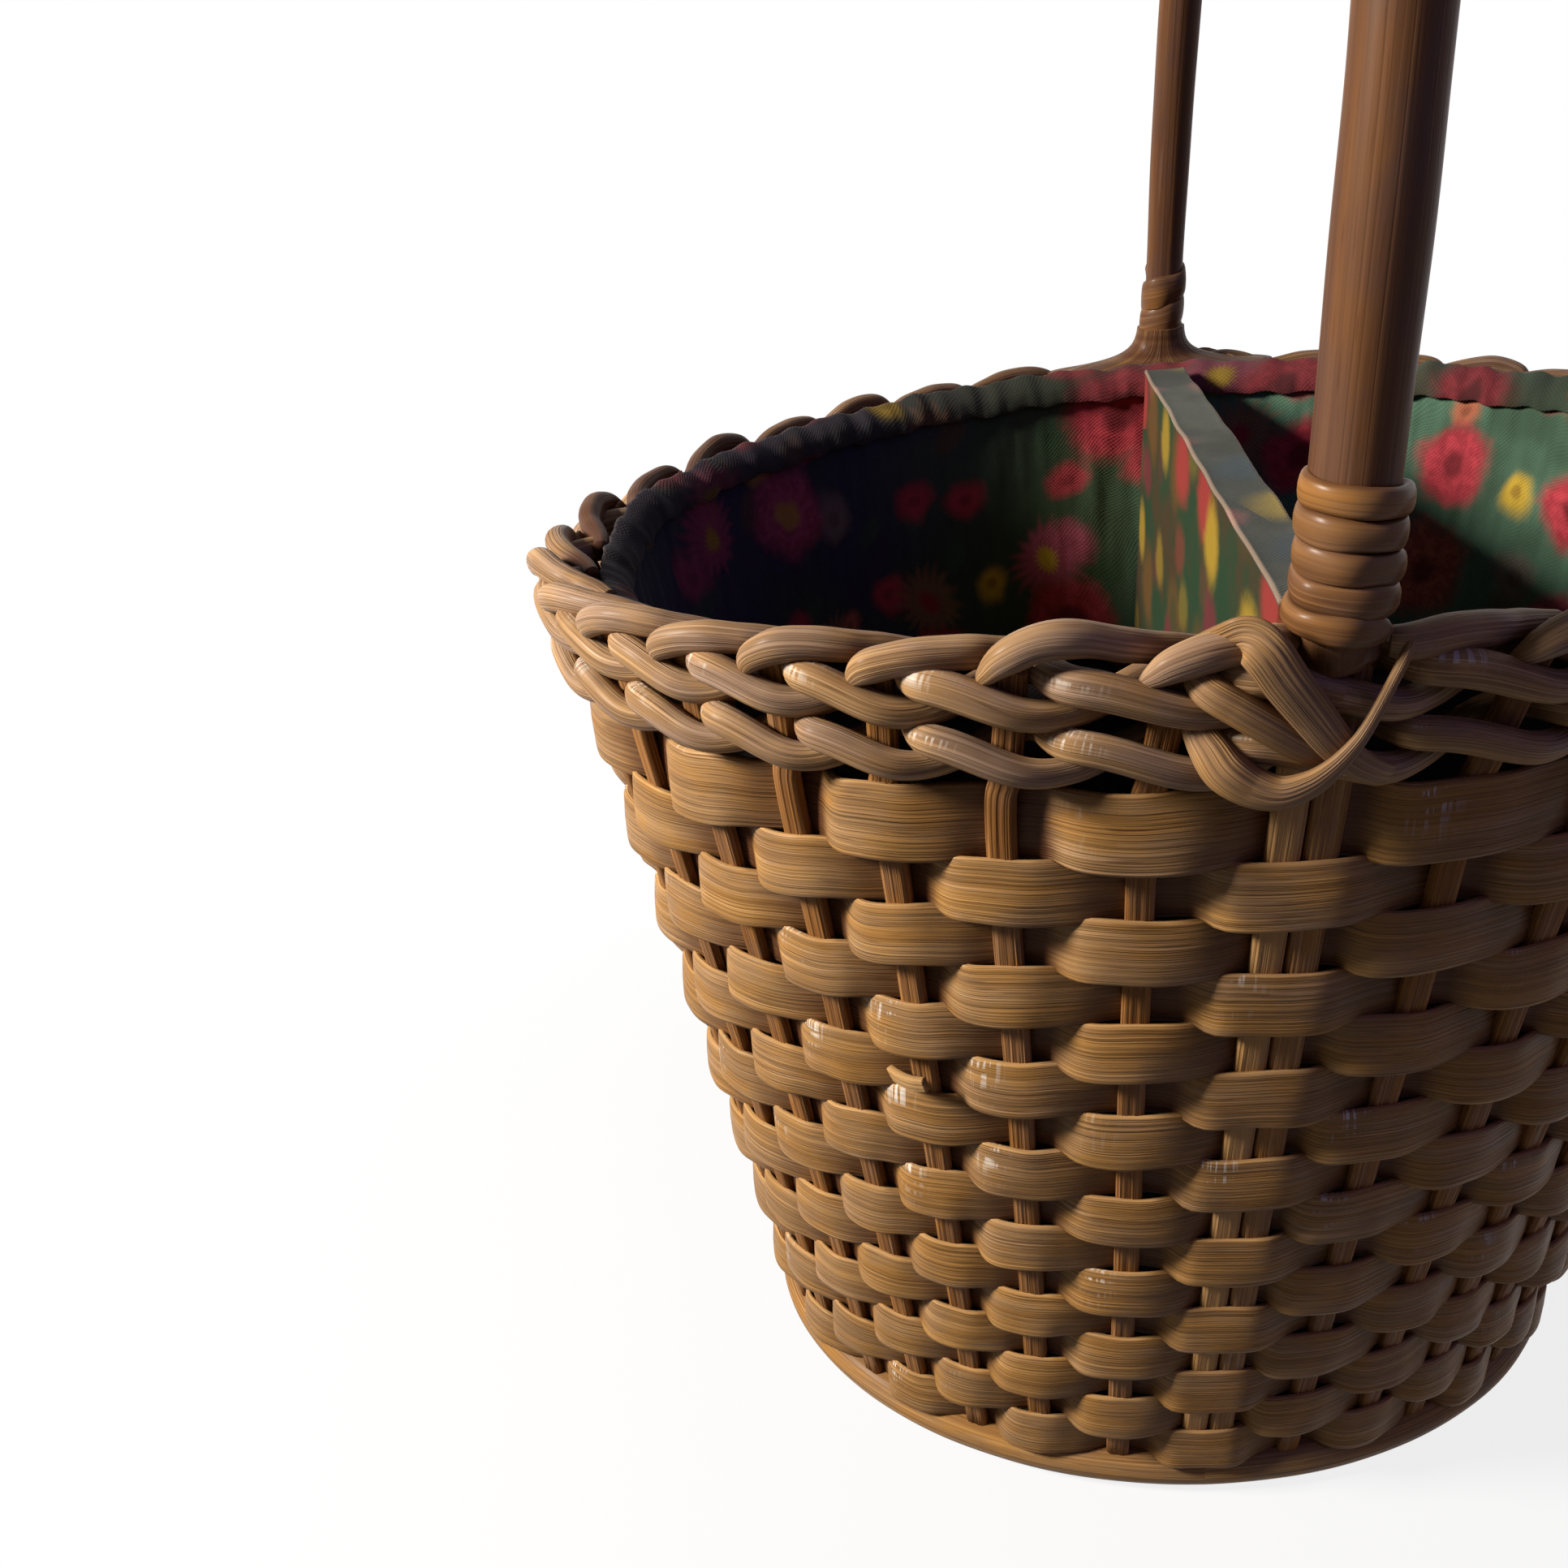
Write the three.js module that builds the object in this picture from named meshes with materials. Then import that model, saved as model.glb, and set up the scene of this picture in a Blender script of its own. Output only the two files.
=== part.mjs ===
import * as THREE from 'three';

// Oval bottle basket of woven cane: 34 upright stakes, 16 rows of flat reed,
// two rows of twined cane, a border made by the stakes' own bent tops, a fixed
// cane handle over the short axis and a cloth-covered lining with a divider.
// Millimetres, +Z up, the basket stands on z = 0, long axis along X.

// Driving dimensions of the wall line, on which every stake is centred; the
// rows of reed and cane add up to its height
const RIM_A = 114.4;
const RIM_B = 87;
const RIM_SHIFT_Y = -2.5;
const BASE_A = 87.8;
const BASE_B = 69;
const RIM_DIP = 6;
const STAKE_COUNT = 34;
const NEAR_FOOT_X = 1.5;
const FAR_FOOT_X = 5;
const FOOT_SPREAD = [0.17, 0.12, 0.06];

// Sections of the cane and reed
const ROD_R = 4.6;
const STAKE_W = 4.6;
const STAKE_D = 3.0;
const TAIL_W = 9.8;
const REED_W = 9.4;
const REED_T = 1.4;
const REED_ROWS = 16;
const ROWS_PER_REED = 4;
const CANE_R = 2.15;
const BORDER_W = 4.8;
const BORDER_D = 4.0;
const BORDER_RISE = 6.4;
const BORDER_TUCK = 2;
const TAIL_TUCK = 0.8;
const NEAR_POST_R = 5.4;
const FAR_POST_R = 3.9;
const HANDLE_RISE = 185;
const POST_SEAT = 5;
const POST_SHOULDER = 2.6;
const BINDING_W = 3.2;
const BINDING_T = 1.4;
const BINDING_TURNS = 5.5;
const BINDING_START = 2;
const BINDING_SPACE = 0.55;
const LASH_W = 3.2;
const LASH_T = 1.6;

// Board, lining and divider
const BOARD_T = 6;
const BOARD_CLEAR_OF_TABLE = 1;
const LINING_T = 1.6;
const LINING_BELOW_RIM = 4.6;
const HEM_T = 0.8;
const HEM_DEPTH = 6.5;
const DIVIDER_T = 8.5;
const DIVIDER_BELOW_RIM = 1.6;
const PAD_T = 2;

// Clearances
const GAP = 0.3;
const ROW_GAP = 0.6;
const REED_EASE = 0.6;
const CANE_EASE = 0.9;

// Derived levels, measured up the wall
const FOOT_TOP = 2 * ROD_R;
const ROW_PITCH = REED_W + ROW_GAP;
const FIRST_ROW = FOOT_TOP + ROW_GAP + REED_W / 2;
const TWIST_RISE = CANE_R + GAP / 2 + 0.05;
const TWINE_PITCH = 2 * (TWIST_RISE + CANE_R) + GAP + 0.1;
const REED_TOP = FIRST_ROW + (REED_ROWS - 1) * ROW_PITCH + REED_W / 2;
const FIRST_TWINE = REED_TOP + ROW_GAP + TWIST_RISE + CANE_R;
const TWINE_TOP = FIRST_TWINE + TWINE_PITCH + TWIST_RISE + CANE_R;
const WALL_H = TWINE_TOP + BORDER_RISE;
const CREST = WALL_H - BORDER_W / 2;
const TAIL_LEVEL = TWINE_TOP + GAP + BORDER_W / 2;
const REED_OFFSET = STAKE_D / 2 + GAP + REED_T / 2;
const CANE_OFFSET = STAKE_D / 2 + GAP + CANE_R;
const LASH_OFFSET = CANE_OFFSET + CANE_R + GAP + LASH_T / 2;
const FAR_STAKE = STAKE_COUNT / 2;
const BOARD_TOP = BOARD_CLEAR_OF_TABLE + BOARD_T;
const ROD_CORNER = ROD_R / Math.cos(Math.PI / 8);
const LINING_FOOT_OFFSET = ROD_CORNER + 2 * GAP;
const WEAVE_IN = BORDER_D / 2 + GAP + BORDER_TUCK;
const LINING_TOP_OFFSET = WEAVE_IN + TAIL_TUCK + BORDER_D / 2 + 2 * GAP;
const LINING_TOP = WALL_H - LINING_BELOW_RIM;
const HEM_INNER = LINING_TOP_OFFSET + LINING_T + GAP;
const DIVIDER_TOP = WALL_H - DIVIDER_BELOW_RIM;
const POST_START = TWINE_TOP + POST_SEAT;

const reedTan = new THREE.MeshStandardMaterial({ color: 0xb98a4e, roughness: 0.55 });
const stakeTan = new THREE.MeshStandardMaterial({ color: 0xa87a42, roughness: 0.6 });
const caneBrown = new THREE.MeshStandardMaterial({ color: 0x9c6f40, roughness: 0.5 });
const handleBrown = new THREE.MeshStandardMaterial({ color: 0x8a5a30, roughness: 0.45 });
const footTan = new THREE.MeshStandardMaterial({ color: 0xa9713a, roughness: 0.5 });
const boardWood = new THREE.MeshStandardMaterial({ color: 0xc7a777, roughness: 0.7 });
const clothGreen = new THREE.MeshStandardMaterial({ color: 0x1f4a3d, roughness: 0.9 });
const clothGrey = new THREE.MeshStandardMaterial({ color: 0x5f7466, roughness: 0.9 });

// Wall surface

const tallness = (level) => level / WALL_H;

// Point of the wall line at an ellipse angle and a level
function linePoint(angle, level) {
  const a = BASE_A + (RIM_A - BASE_A) * tallness(level);
  const b = BASE_B + (RIM_B - BASE_B) * tallness(level);
  const dip = RIM_DIP / (WALL_H - FOOT_TOP) * Math.cos(angle) ** 2;
  const z = FOOT_TOP + (level - FOOT_TOP) * (1 - dip);
  return new THREE.Vector3(a * Math.cos(angle), b * Math.sin(angle) + RIM_SHIFT_Y * tallness(level), z);
}

// Outward normal of the wall, from two short steps along it
function wallNormal(angle, level) {
  const step = 1e-3;
  const along = linePoint(angle + step, level).sub(linePoint(angle - step, level));
  const up = linePoint(angle, level + 0.5).sub(linePoint(angle, level - 0.5));
  return along.cross(up).normalize();
}

// Ellipse angle of a place counted in stakes from the near foot, to the right
const ARC_STEPS = 1440;
const arcTable = [0];
for (let i = 1; i <= ARC_STEPS; i += 1) {
  const before = linePoint(-Math.PI / 2 + 2 * Math.PI * (i - 1) / ARC_STEPS, WALL_H / 2).setZ(0);
  const here = linePoint(-Math.PI / 2 + 2 * Math.PI * i / ARC_STEPS, WALL_H / 2).setZ(0);
  arcTable.push(arcTable[i - 1] + here.distanceTo(before));
}
const ROUND_LENGTH = arcTable[ARC_STEPS];

function angleAtLength(length) {
  const laps = Math.floor(length / ROUND_LENGTH);
  const rest = length - laps * ROUND_LENGTH;
  let low = 0;
  let high = ARC_STEPS;
  while (high - low > 1) {
    const middle = (low + high) >> 1;
    if (arcTable[middle] <= rest) low = middle;
    else high = middle;
  }
  const share = (rest - arcTable[low]) / (arcTable[low + 1] - arcTable[low]);
  return -Math.PI / 2 + 2 * Math.PI * (laps + (low + share) / ARC_STEPS);
}

// The stakes stand wider apart beside the two handle feet than at the ends of the oval
function angleAt(place) {
  const turn = 2 * Math.PI * place / STAKE_COUNT;
  const near = NEAR_FOOT_X * (1 + Math.cos(turn)) / 2;
  const far = FAR_FOOT_X * (1 - Math.cos(turn)) / 2;
  const spread = FOOT_SPREAD.reduce((sum, reach, n) => sum + reach * Math.sin(2 * (n + 1) * turn), 0);
  return angleAtLength(ROUND_LENGTH * (place + spread) / STAKE_COUNT + near - far);
}

// Point beside the wall line: place in stakes, level, distance outwards
function beside(place, level, out) {
  const angle = angleAt(place);
  return linePoint(angle, level).addScaledVector(wallNormal(angle, level), out);
}

const normalAt = (place, level) => wallNormal(angleAt(place), level);

// Distance between neighbouring stakes at a level
function pitchAt(place, level) {
  return linePoint(angleAt(place + 0.5), level).distanceTo(linePoint(angleAt(place - 0.5), level));
}

const isFoot = (stake) => stake % FAR_STAKE === 0;
const halfWidth = (stake) => (isFoot(stake) ? TAIL_W : STAKE_W) / 2;

// Solids from rings of points

// Rings run anticlockwise as seen from ahead; loose ends get flat caps
function loft(rings, closed) {
  const sides = rings[0].length;
  const points = [];
  const faces = [];
  rings.forEach((ring) => ring.forEach((p) => points.push(p.x, p.y, p.z)));
  const spans = closed ? rings.length : rings.length - 1;
  for (let j = 0; j < spans; j += 1) {
    const here = j * sides;
    const next = ((j + 1) % rings.length) * sides;
    for (let k = 0; k < sides; k += 1) {
      const m = (k + 1) % sides;
      faces.push(here + k, here + m, next + m);
      faces.push(here + k, next + m, next + k);
    }
  }
  if (!closed) {
    const last = (rings.length - 1) * sides;
    for (let k = 1; k < sides - 1; k += 1) {
      faces.push(0, k + 1, k);
      faces.push(last, last + k, last + k + 1);
    }
  }
  const geometry = new THREE.BufferGeometry();
  geometry.setAttribute('position', new THREE.Float32BufferAttribute(points, 3));
  geometry.setIndex(faces);
  geometry.computeVertexNormals();
  return geometry;
}

// Rod of oval section through stations of centre, outward direction and half sizes
function rod(stations, sides, closed) {
  const count = stations.length;
  const rings = stations.map((station, j) => {
    const before = stations[closed ? (j + count - 1) % count : Math.max(j - 1, 0)].at;
    const after = stations[closed ? (j + 1) % count : Math.min(j + 1, count - 1)].at;
    const ahead = after.clone().sub(before).normalize();
    const outward = station.out.clone().addScaledVector(ahead, -station.out.dot(ahead)).normalize();
    const across = outward.clone().cross(ahead);
    const ring = [];
    for (let k = 0; k < sides; k += 1) {
      const turn = 2 * Math.PI * k / sides;
      const point = station.at.clone().addScaledVector(across, station.half * Math.cos(turn));
      ring.push(point.addScaledVector(outward, station.deep * Math.sin(turn)));
    }
    return ring;
  });
  return loft(rings, closed);
}

const basket = new THREE.Group();
basket.name = 'bottle_basket';

function add(name, geometry, material) {
  const mesh = new THREE.Mesh(geometry, material);
  mesh.name = name;
  basket.add(mesh);
}

const numbered = (word, n) => `${word}_${String(n).padStart(2, '0')}`;

// Foot rod and base board

// The rod's eight sides leave one flat at the bottom, which the basket stands on
function footRod() {
  const rings = [];
  for (let place = 0; place < STAKE_COUNT; place += 1) {
    const angle = angleAt(place);
    const centre = linePoint(angle, 0).setZ(ROD_R);
    const outward = wallNormal(angle, 0).setZ(0).normalize();
    const ring = [];
    for (let k = 0; k < 8; k += 1) {
      const turn = 2 * Math.PI * (k + 0.5) / 8;
      const point = centre.clone().addScaledVector(outward, ROD_CORNER * Math.sin(turn));
      ring.push(point.setZ(ROD_R + ROD_CORNER * Math.cos(turn)));
    }
    rings.push(ring);
  }
  return loft(rings, true);
}

// Flat plate between two heights from places round the wall, set in from the foot line
function plate(places, inset, bottom, top) {
  const outline = places.map((place) => {
    const angle = angleAt(place);
    return linePoint(angle, 0).addScaledVector(wallNormal(angle, 0).setZ(0).normalize(), -inset);
  });
  return loft([bottom, top].map((z) => outline.map((p) => p.clone().setZ(z))), false);
}

function baseBoard() {
  const places = [...Array(STAKE_COUNT).keys()];
  return plate(places, ROD_CORNER + GAP, BOARD_CLEAR_OF_TABLE, BOARD_TOP);
}

add('foot_rod', footRod(), footTan);
add('base_board', baseBoard(), boardWood);

// Stakes, each with its top bent over to the right as one arc of the border

// Steps of an arc: places to the right of its stake, level, distance outwards
const ARC_RISE = CREST - TWINE_TOP;
const borderSteps = [
  { right: 0, level: TWINE_TOP + 0.2, out: 0 },
  { right: 0.02, level: TWINE_TOP + 0.35 * ARC_RISE, out: 0.6 },
  { right: 0.14, level: TWINE_TOP + 0.72 * ARC_RISE, out: 1.8 },
  { right: 0.34, level: CREST, out: 2.4 },
  { right: 0.52, level: CREST, out: 1.2 },
  { right: 0.7, level: CREST - 0.3, out: -1.6 },
  { right: 0.87, level: CREST - 0.6, out: -WEAVE_IN },
  { right: 1.12, level: TAIL_LEVEL + 0.5, out: -WEAVE_IN - TAIL_TUCK + 0.1 },
  { right: 1.4, level: TAIL_LEVEL + 0.1, out: -WEAVE_IN - TAIL_TUCK },
];

function borderStation(stake, step, first) {
  const place = stake + step.right;
  return {
    at: beside(place, step.level, step.out),
    out: normalAt(place, step.level),
    half: first ? STAKE_W / 2 : BORDER_W / 2,
    deep: first ? STAKE_D / 2 : BORDER_D / 2,
  };
}

// A stake left of a handle foot ends its arc against the post
function stakeWithArc(stake) {
  const bottom = FOOT_TOP + GAP;
  const stations = [{
    at: beside(stake, bottom, 0),
    out: normalAt(stake, bottom),
    half: STAKE_W / 2,
    deep: STAKE_D / 2,
  }];
  const nextIsFoot = isFoot(stake + 1);
  const steps = borderSteps.filter((step) => !nextIsFoot || step.right < 0.6);
  steps.forEach((step, n) => stations.push(borderStation(stake, step, n < 2)));
  return rod(stations, 6, false);
}

// Beyond a post the arc that its own stake would make is a short loose cane
function fillerArc(foot) {
  const radius = foot === 0 ? NEAR_POST_R : FAR_POST_R;
  const start = (radius + GAP) / pitchAt(foot, CREST);
  const steps = borderSteps.filter((step) => step.right > start + 0.1);
  const first = { ...steps[0], right: start, out: 2.2 };
  const stations = [first, ...steps].map((step) => borderStation(foot, step, false));
  return rod(stations, 6, false);
}

for (let stake = 0; stake < STAKE_COUNT; stake += 1) {
  if (isFoot(stake)) add(numbered('border_filler', stake), fillerArc(stake), stakeTan);
  else add(numbered('stake', stake), stakeWithArc(stake), stakeTan);
}

// Flat reed, over one stake and under the next; each length makes four rounds
// and steps up one row past the last stake of a round

const STEP_UP_PLACE = Math.floor(STAKE_COUNT * 0.58);

function reedLength(firstRow, rounds) {
  const rings = [];
  for (let n = 0; n < rounds * STAKE_COUNT; n += 1) {
    const round = Math.floor(n / STAKE_COUNT);
    const row = firstRow + round;
    const level = FIRST_ROW + row * ROW_PITCH;
    const place = n + STEP_UP_PLACE;
    const stake = place % STAKE_COUNT;
    const sign = (n + row) % 2 === 0 ? -1 : 1;
    const reach = (halfWidth(stake) + REED_EASE) / pitchAt(place, level);
    [-reach, reach].forEach((shift) => {
      const ring = [[-1, -1], [1, -1], [1, 1], [-1, 1]].map(([up, outwards]) => {
        const out = sign * REED_OFFSET + outwards * REED_T / 2;
        return beside(place + shift, level + up * REED_W / 2, out);
      });
      rings.push(ring);
    });
  }
  return loft(rings, false);
}

for (let row = 0; row < REED_ROWS; row += ROWS_PER_REED) {
  const rounds = Math.min(ROWS_PER_REED, REED_ROWS - row);
  add(numbered('reed_length', row / ROWS_PER_REED + 1), reedLength(row, rounds), reedTan);
}

// Twined cane: two strands cross between all stakes, falling to the right outside

function twineStrand(level, phase) {
  const stations = [];
  for (let stake = 0; stake < STAKE_COUNT; stake += 1) {
    const sign = (stake + phase) % 2 === 0 ? 1 : -1;
    const reach = (halfWidth(stake) + CANE_EASE) / pitchAt(stake, level);
    [-1, 1].forEach((side) => {
      const height = level - side * sign * TWIST_RISE;
      const place = stake + side * reach;
      stations.push({
        at: beside(place, height, sign * CANE_OFFSET),
        out: normalAt(place, height),
        half: CANE_R,
        deep: CANE_R,
      });
    });
  }
  return rod(stations, 5, true);
}

['low', 'high'].forEach((row, r) => {
  ['a', 'b'].forEach((strand, phase) => {
    const level = FIRST_TWINE + r * TWINE_PITCH;
    add(`twine_${row}_${strand}`, twineStrand(level, phase + r), caneBrown);
  });
});

// Handle: one cane, whittled flat at both ends to stand as the foot stakes

const postNear = linePoint(angleAt(0), POST_START);
const postFar = linePoint(angleAt(FAR_STAKE), POST_START);
const acrossPlane = postFar.clone().sub(postNear).setZ(0);
const HANDLE_HALF = acrossPlane.length() / 2;
acrossPlane.normalize();
const handleMiddle = postNear.clone().add(postFar).multiplyScalar(0.5);

// Station of the arch, share 0 at the near foot and 1 at the far foot
function archStation(share) {
  const turn = Math.PI * share;
  const radius = NEAR_POST_R + (FAR_POST_R - NEAR_POST_R) * share;
  const rise = HANDLE_RISE * Math.sin(turn);
  const at = handleMiddle.clone().addScaledVector(acrossPlane, -HANDLE_HALF * Math.cos(turn));
  at.z += rise;
  const out = acrossPlane.clone().multiplyScalar(-Math.cos(turn) / HANDLE_HALF);
  out.z = Math.sin(turn) / HANDLE_RISE;
  return { at, out: out.normalize(), half: radius, deep: radius };
}

function tailStation(stake, level, half, deep) {
  return { at: beside(stake, level, 0), out: normalAt(stake, level), half, deep };
}

function handle() {
  const bottom = FOOT_TOP + GAP;
  const stations = [
    tailStation(0, bottom, TAIL_W / 2, STAKE_D / 2),
    tailStation(0, TWINE_TOP + 0.2, TAIL_W / 2, STAKE_D / 2),
    tailStation(0, TWINE_TOP + POST_SHOULDER, NEAR_POST_R, NEAR_POST_R * 0.7),
  ];
  const steps = 24;
  for (let j = 0; j <= steps; j += 1) stations.push(archStation(j / steps));
  stations.push(
    tailStation(FAR_STAKE, TWINE_TOP + POST_SHOULDER, FAR_POST_R, FAR_POST_R * 0.8),
    tailStation(FAR_STAKE, TWINE_TOP + 0.2, TAIL_W / 2, STAKE_D / 2),
    tailStation(FAR_STAKE, bottom, TAIL_W / 2, STAKE_D / 2),
  );
  return rod(stations, 10, false);
}

add('handle', handle(), handleBrown);

// Bindings: a flat strand wound round each foot of the handle

const BINDING_RISE = BINDING_TURNS * (BINDING_W + BINDING_SPACE);

function binding(name, nearEnd) {
  const perTurn = 16;
  const count = Math.round(BINDING_TURNS * perTurn);
  const stations = [];
  for (let j = 0; j <= count; j += 1) {
    const height = BINDING_START + BINDING_RISE * j / count;
    const share = Math.asin(height / HANDLE_RISE) / Math.PI;
    const post = archStation(nearEnd ? share : 1 - share);
    const side = new THREE.Vector3().crossVectors(post.out, new THREE.Vector3(0, 0, 1)).normalize();
    const turn = 2 * Math.PI * j / perTurn;
    const radial = side.multiplyScalar(Math.cos(turn)).addScaledVector(post.out, Math.sin(turn));
    const reach = post.half + GAP + BINDING_T / 2;
    stations.push({
      at: post.at.clone().addScaledVector(radial, reach),
      out: radial,
      half: BINDING_W / 2,
      deep: BINDING_T / 2,
    });
  }
  let least = Infinity;
  stations.forEach((one, i) => {
    for (let j = i + perTurn / 2; j < stations.length; j += 1) {
      least = Math.min(least, one.at.distanceTo(stations[j].at) - BINDING_W);
    }
  });
  console.log(`${name}: least gap to itself ${least.toFixed(2)} mm`);
  return rod(stations, 6, false);
}

add('binding_near', binding('binding_near', true), caneBrown);
add('binding_far', binding('binding_far', false), caneBrown);

// Lashings: one strand at each foot, crossed over the border and the twining

function lashing(foot) {
  const low = FIRST_TWINE - TWIST_RISE - CANE_R;
  const high = CREST;
  const span = high - low;
  const over = LASH_OFFSET + LASH_T + 0.5;
  const path = [
    [-0.62, 1.0, BORDER_D + 2.4],
    [-0.35, 0.87, LASH_OFFSET],
    [0, 0.7, LASH_OFFSET],
    [0.3, 0.52, LASH_OFFSET],
    [0.46, 0.34, LASH_OFFSET],
    [0.4, 0.14, LASH_OFFSET],
    [0.16, 0.01, LASH_OFFSET],
    [-0.18, 0.0, LASH_OFFSET],
    [-0.43, 0.12, LASH_OFFSET],
    [-0.5, 0.3, LASH_OFFSET],
    [-0.38, 0.48, LASH_OFFSET + 0.6],
    [-0.14, 0.6, over],
    [0.08, 0.7, over],
    [0.35, 0.86, LASH_OFFSET + 0.8],
    [0.62, 1.0, BORDER_D + 2.8],
  ];
  const stations = path.map(([right, share, out]) => {
    const level = low + span * share;
    return {
      at: beside(foot + right, level, out),
      out: normalAt(foot + right, level),
      half: LASH_W / 2,
      deep: LASH_T / 2,
    };
  });
  return rod(stations, 6, false);
}

add('lashing_near', lashing(0), caneBrown);
add('lashing_far', lashing(FAR_STAKE), caneBrown);

// Lining: a stiff cloth-covered wall that stands on the board, with a hem

function liningOffset(level) {
  const share = (level - BOARD_TOP) / (LINING_TOP - BOARD_TOP);
  return LINING_FOOT_OFFSET + (LINING_TOP_OFFSET - LINING_FOOT_OFFSET) * share;
}

// Closed band round the wall; corners give level and distance inwards
function band(corners) {
  const rings = [];
  for (let place = 0; place < STAKE_COUNT; place += 1) {
    rings.push(corners.map(([level, inwards]) => beside(place, level, -inwards)));
  }
  return loft(rings, true);
}

function liningWall() {
  const bottom = BOARD_TOP + 2 * GAP;
  return band([
    [bottom, liningOffset(bottom) + LINING_T],
    [LINING_TOP, liningOffset(LINING_TOP) + LINING_T],
    [LINING_TOP, liningOffset(LINING_TOP)],
    [bottom, liningOffset(bottom)],
  ]);
}

// The hem laps the lining's top edge and hangs down inside it
function liningHem() {
  const top = LINING_TOP + GAP;
  return band([
    [top - HEM_DEPTH, HEM_INNER + HEM_T],
    [top + HEM_T, HEM_INNER + HEM_T],
    [top + HEM_T, LINING_TOP_OFFSET + 0.3],
    [top, LINING_TOP_OFFSET + 0.3],
    [top, HEM_INNER],
    [top - HEM_DEPTH, HEM_INNER],
  ]);
}

// Divider between the two compartments, from foot to foot of the handle
function divider() {
  const hemBottom = LINING_TOP + GAP - HEM_DEPTH;
  const inset = (level) => {
    const share = (level - BOARD_TOP) / (hemBottom - BOARD_TOP);
    const foot = LINING_FOOT_OFFSET + LINING_T;
    return foot + (HEM_INNER + HEM_T - foot) * share + 2 * GAP;
  };
  const along = acrossPlane.clone();
  const sideways = new THREE.Vector3(along.y, -along.x, 0);
  const rings = [BOARD_TOP + GAP, DIVIDER_TOP].map((level) => {
    const near = beside(0, level, -inset(level)).setZ(level);
    const far = beside(FAR_STAKE, level, -inset(level)).setZ(level);
    return [[near, -1], [near, 1], [far, 1], [far, -1]].map(([end, side]) => (
      end.clone().addScaledVector(sideways, side * DIVIDER_T / 2)
    ));
  });
  return loft(rings, false);
}

// Padded floor of one compartment, cut straight beside the divider
function floorPad(first, last) {
  const inset = LINING_FOOT_OFFSET + LINING_T + 2 * GAP;
  const cut = (DIVIDER_T / 2 + 2 * GAP) / pitchAt(0, 0);
  const places = [first + cut];
  for (let place = first + 1; place < last; place += 1) places.push(place);
  places.push(last - cut);
  return plate(places, inset, BOARD_TOP + GAP, BOARD_TOP + GAP + PAD_T);
}

add('lining_wall', liningWall(), clothGreen);
add('lining_hem', liningHem(), clothGrey);
add('divider', divider(), clothGrey);
add('floor_pad_right', floorPad(0, FAR_STAKE), clothGreen);
add('floor_pad_left', floorPad(FAR_STAKE, STAKE_COUNT), clothGreen);

export default basket;
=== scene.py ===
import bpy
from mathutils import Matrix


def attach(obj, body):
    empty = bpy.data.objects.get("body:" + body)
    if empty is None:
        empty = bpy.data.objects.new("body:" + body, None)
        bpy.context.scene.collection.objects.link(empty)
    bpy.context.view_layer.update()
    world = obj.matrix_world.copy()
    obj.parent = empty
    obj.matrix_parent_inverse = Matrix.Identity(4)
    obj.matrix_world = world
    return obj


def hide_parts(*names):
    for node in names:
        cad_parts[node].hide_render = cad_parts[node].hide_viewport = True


bl_info = {
    "name": "Wicker bottle basket",
    "version": (1, 0, 0),
    "blender": (4, 5, 0),
    "location": "View3D > Sidebar > Basket",
    "description": "Oval basket of woven cane with a printed cloth lining, made over its packed frame",
    "category": "Add Mesh",
}

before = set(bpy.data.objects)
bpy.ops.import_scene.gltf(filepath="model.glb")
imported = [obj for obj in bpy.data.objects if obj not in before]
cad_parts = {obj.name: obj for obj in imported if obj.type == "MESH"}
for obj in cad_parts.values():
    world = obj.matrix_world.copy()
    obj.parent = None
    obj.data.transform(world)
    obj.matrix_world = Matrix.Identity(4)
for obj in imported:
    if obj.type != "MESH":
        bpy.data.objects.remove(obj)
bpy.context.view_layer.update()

import bpy
import numpy as np
from bpy.props import FloatProperty, FloatVectorProperty, IntProperty, PointerProperty
from mathutils import Matrix

BODY = "root"
MM = 0.001
TAU = 2 * np.pi
UP = np.array([0, 0, 1.0])


def metres(name, text, default):
    return FloatProperty(name=name, description=text, default=default, unit="LENGTH", precision=5)


def paint(name, text, default):
    return FloatVectorProperty(name=name, description=text, default=default, subtype="COLOR", min=0, max=1)


class BasketWallSizes(bpy.types.PropertyGroup):
    """Leaning oval wall that everything is woven on"""

    rim_a: metres("Rim half length", "Half the long axis at the rim", 0.1144)
    rim_b: metres("Rim half width", "Half the short axis at the rim", 0.087)
    rim_shift: metres("Rim shift", "How far the rim stands along Y from over the foot", -0.0025)
    base_a: metres("Foot half length", "Half the long axis at the foot", 0.0878)
    base_b: metres("Foot half width", "Half the short axis at the foot", 0.069)
    rim_dip: metres("Rim dip", "How much lower the rim is at the ends of the oval", 0.006)
    stakes: IntProperty(name="Stakes", description="Uprights round the wall, an even number", default=34)
    near_foot_x: metres("Near foot place", "How far to the right the near handle foot stands", 0.0015)
    far_foot_x: metres("Far foot place", "How far to the right the far handle foot stands", 0.005)
    foot_spread: FloatVectorProperty(
        name="Foot spread", description="Shares of a step that stakes stand off the feet, for three waves",
        default=(0.17, 0.12, 0.06))


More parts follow.
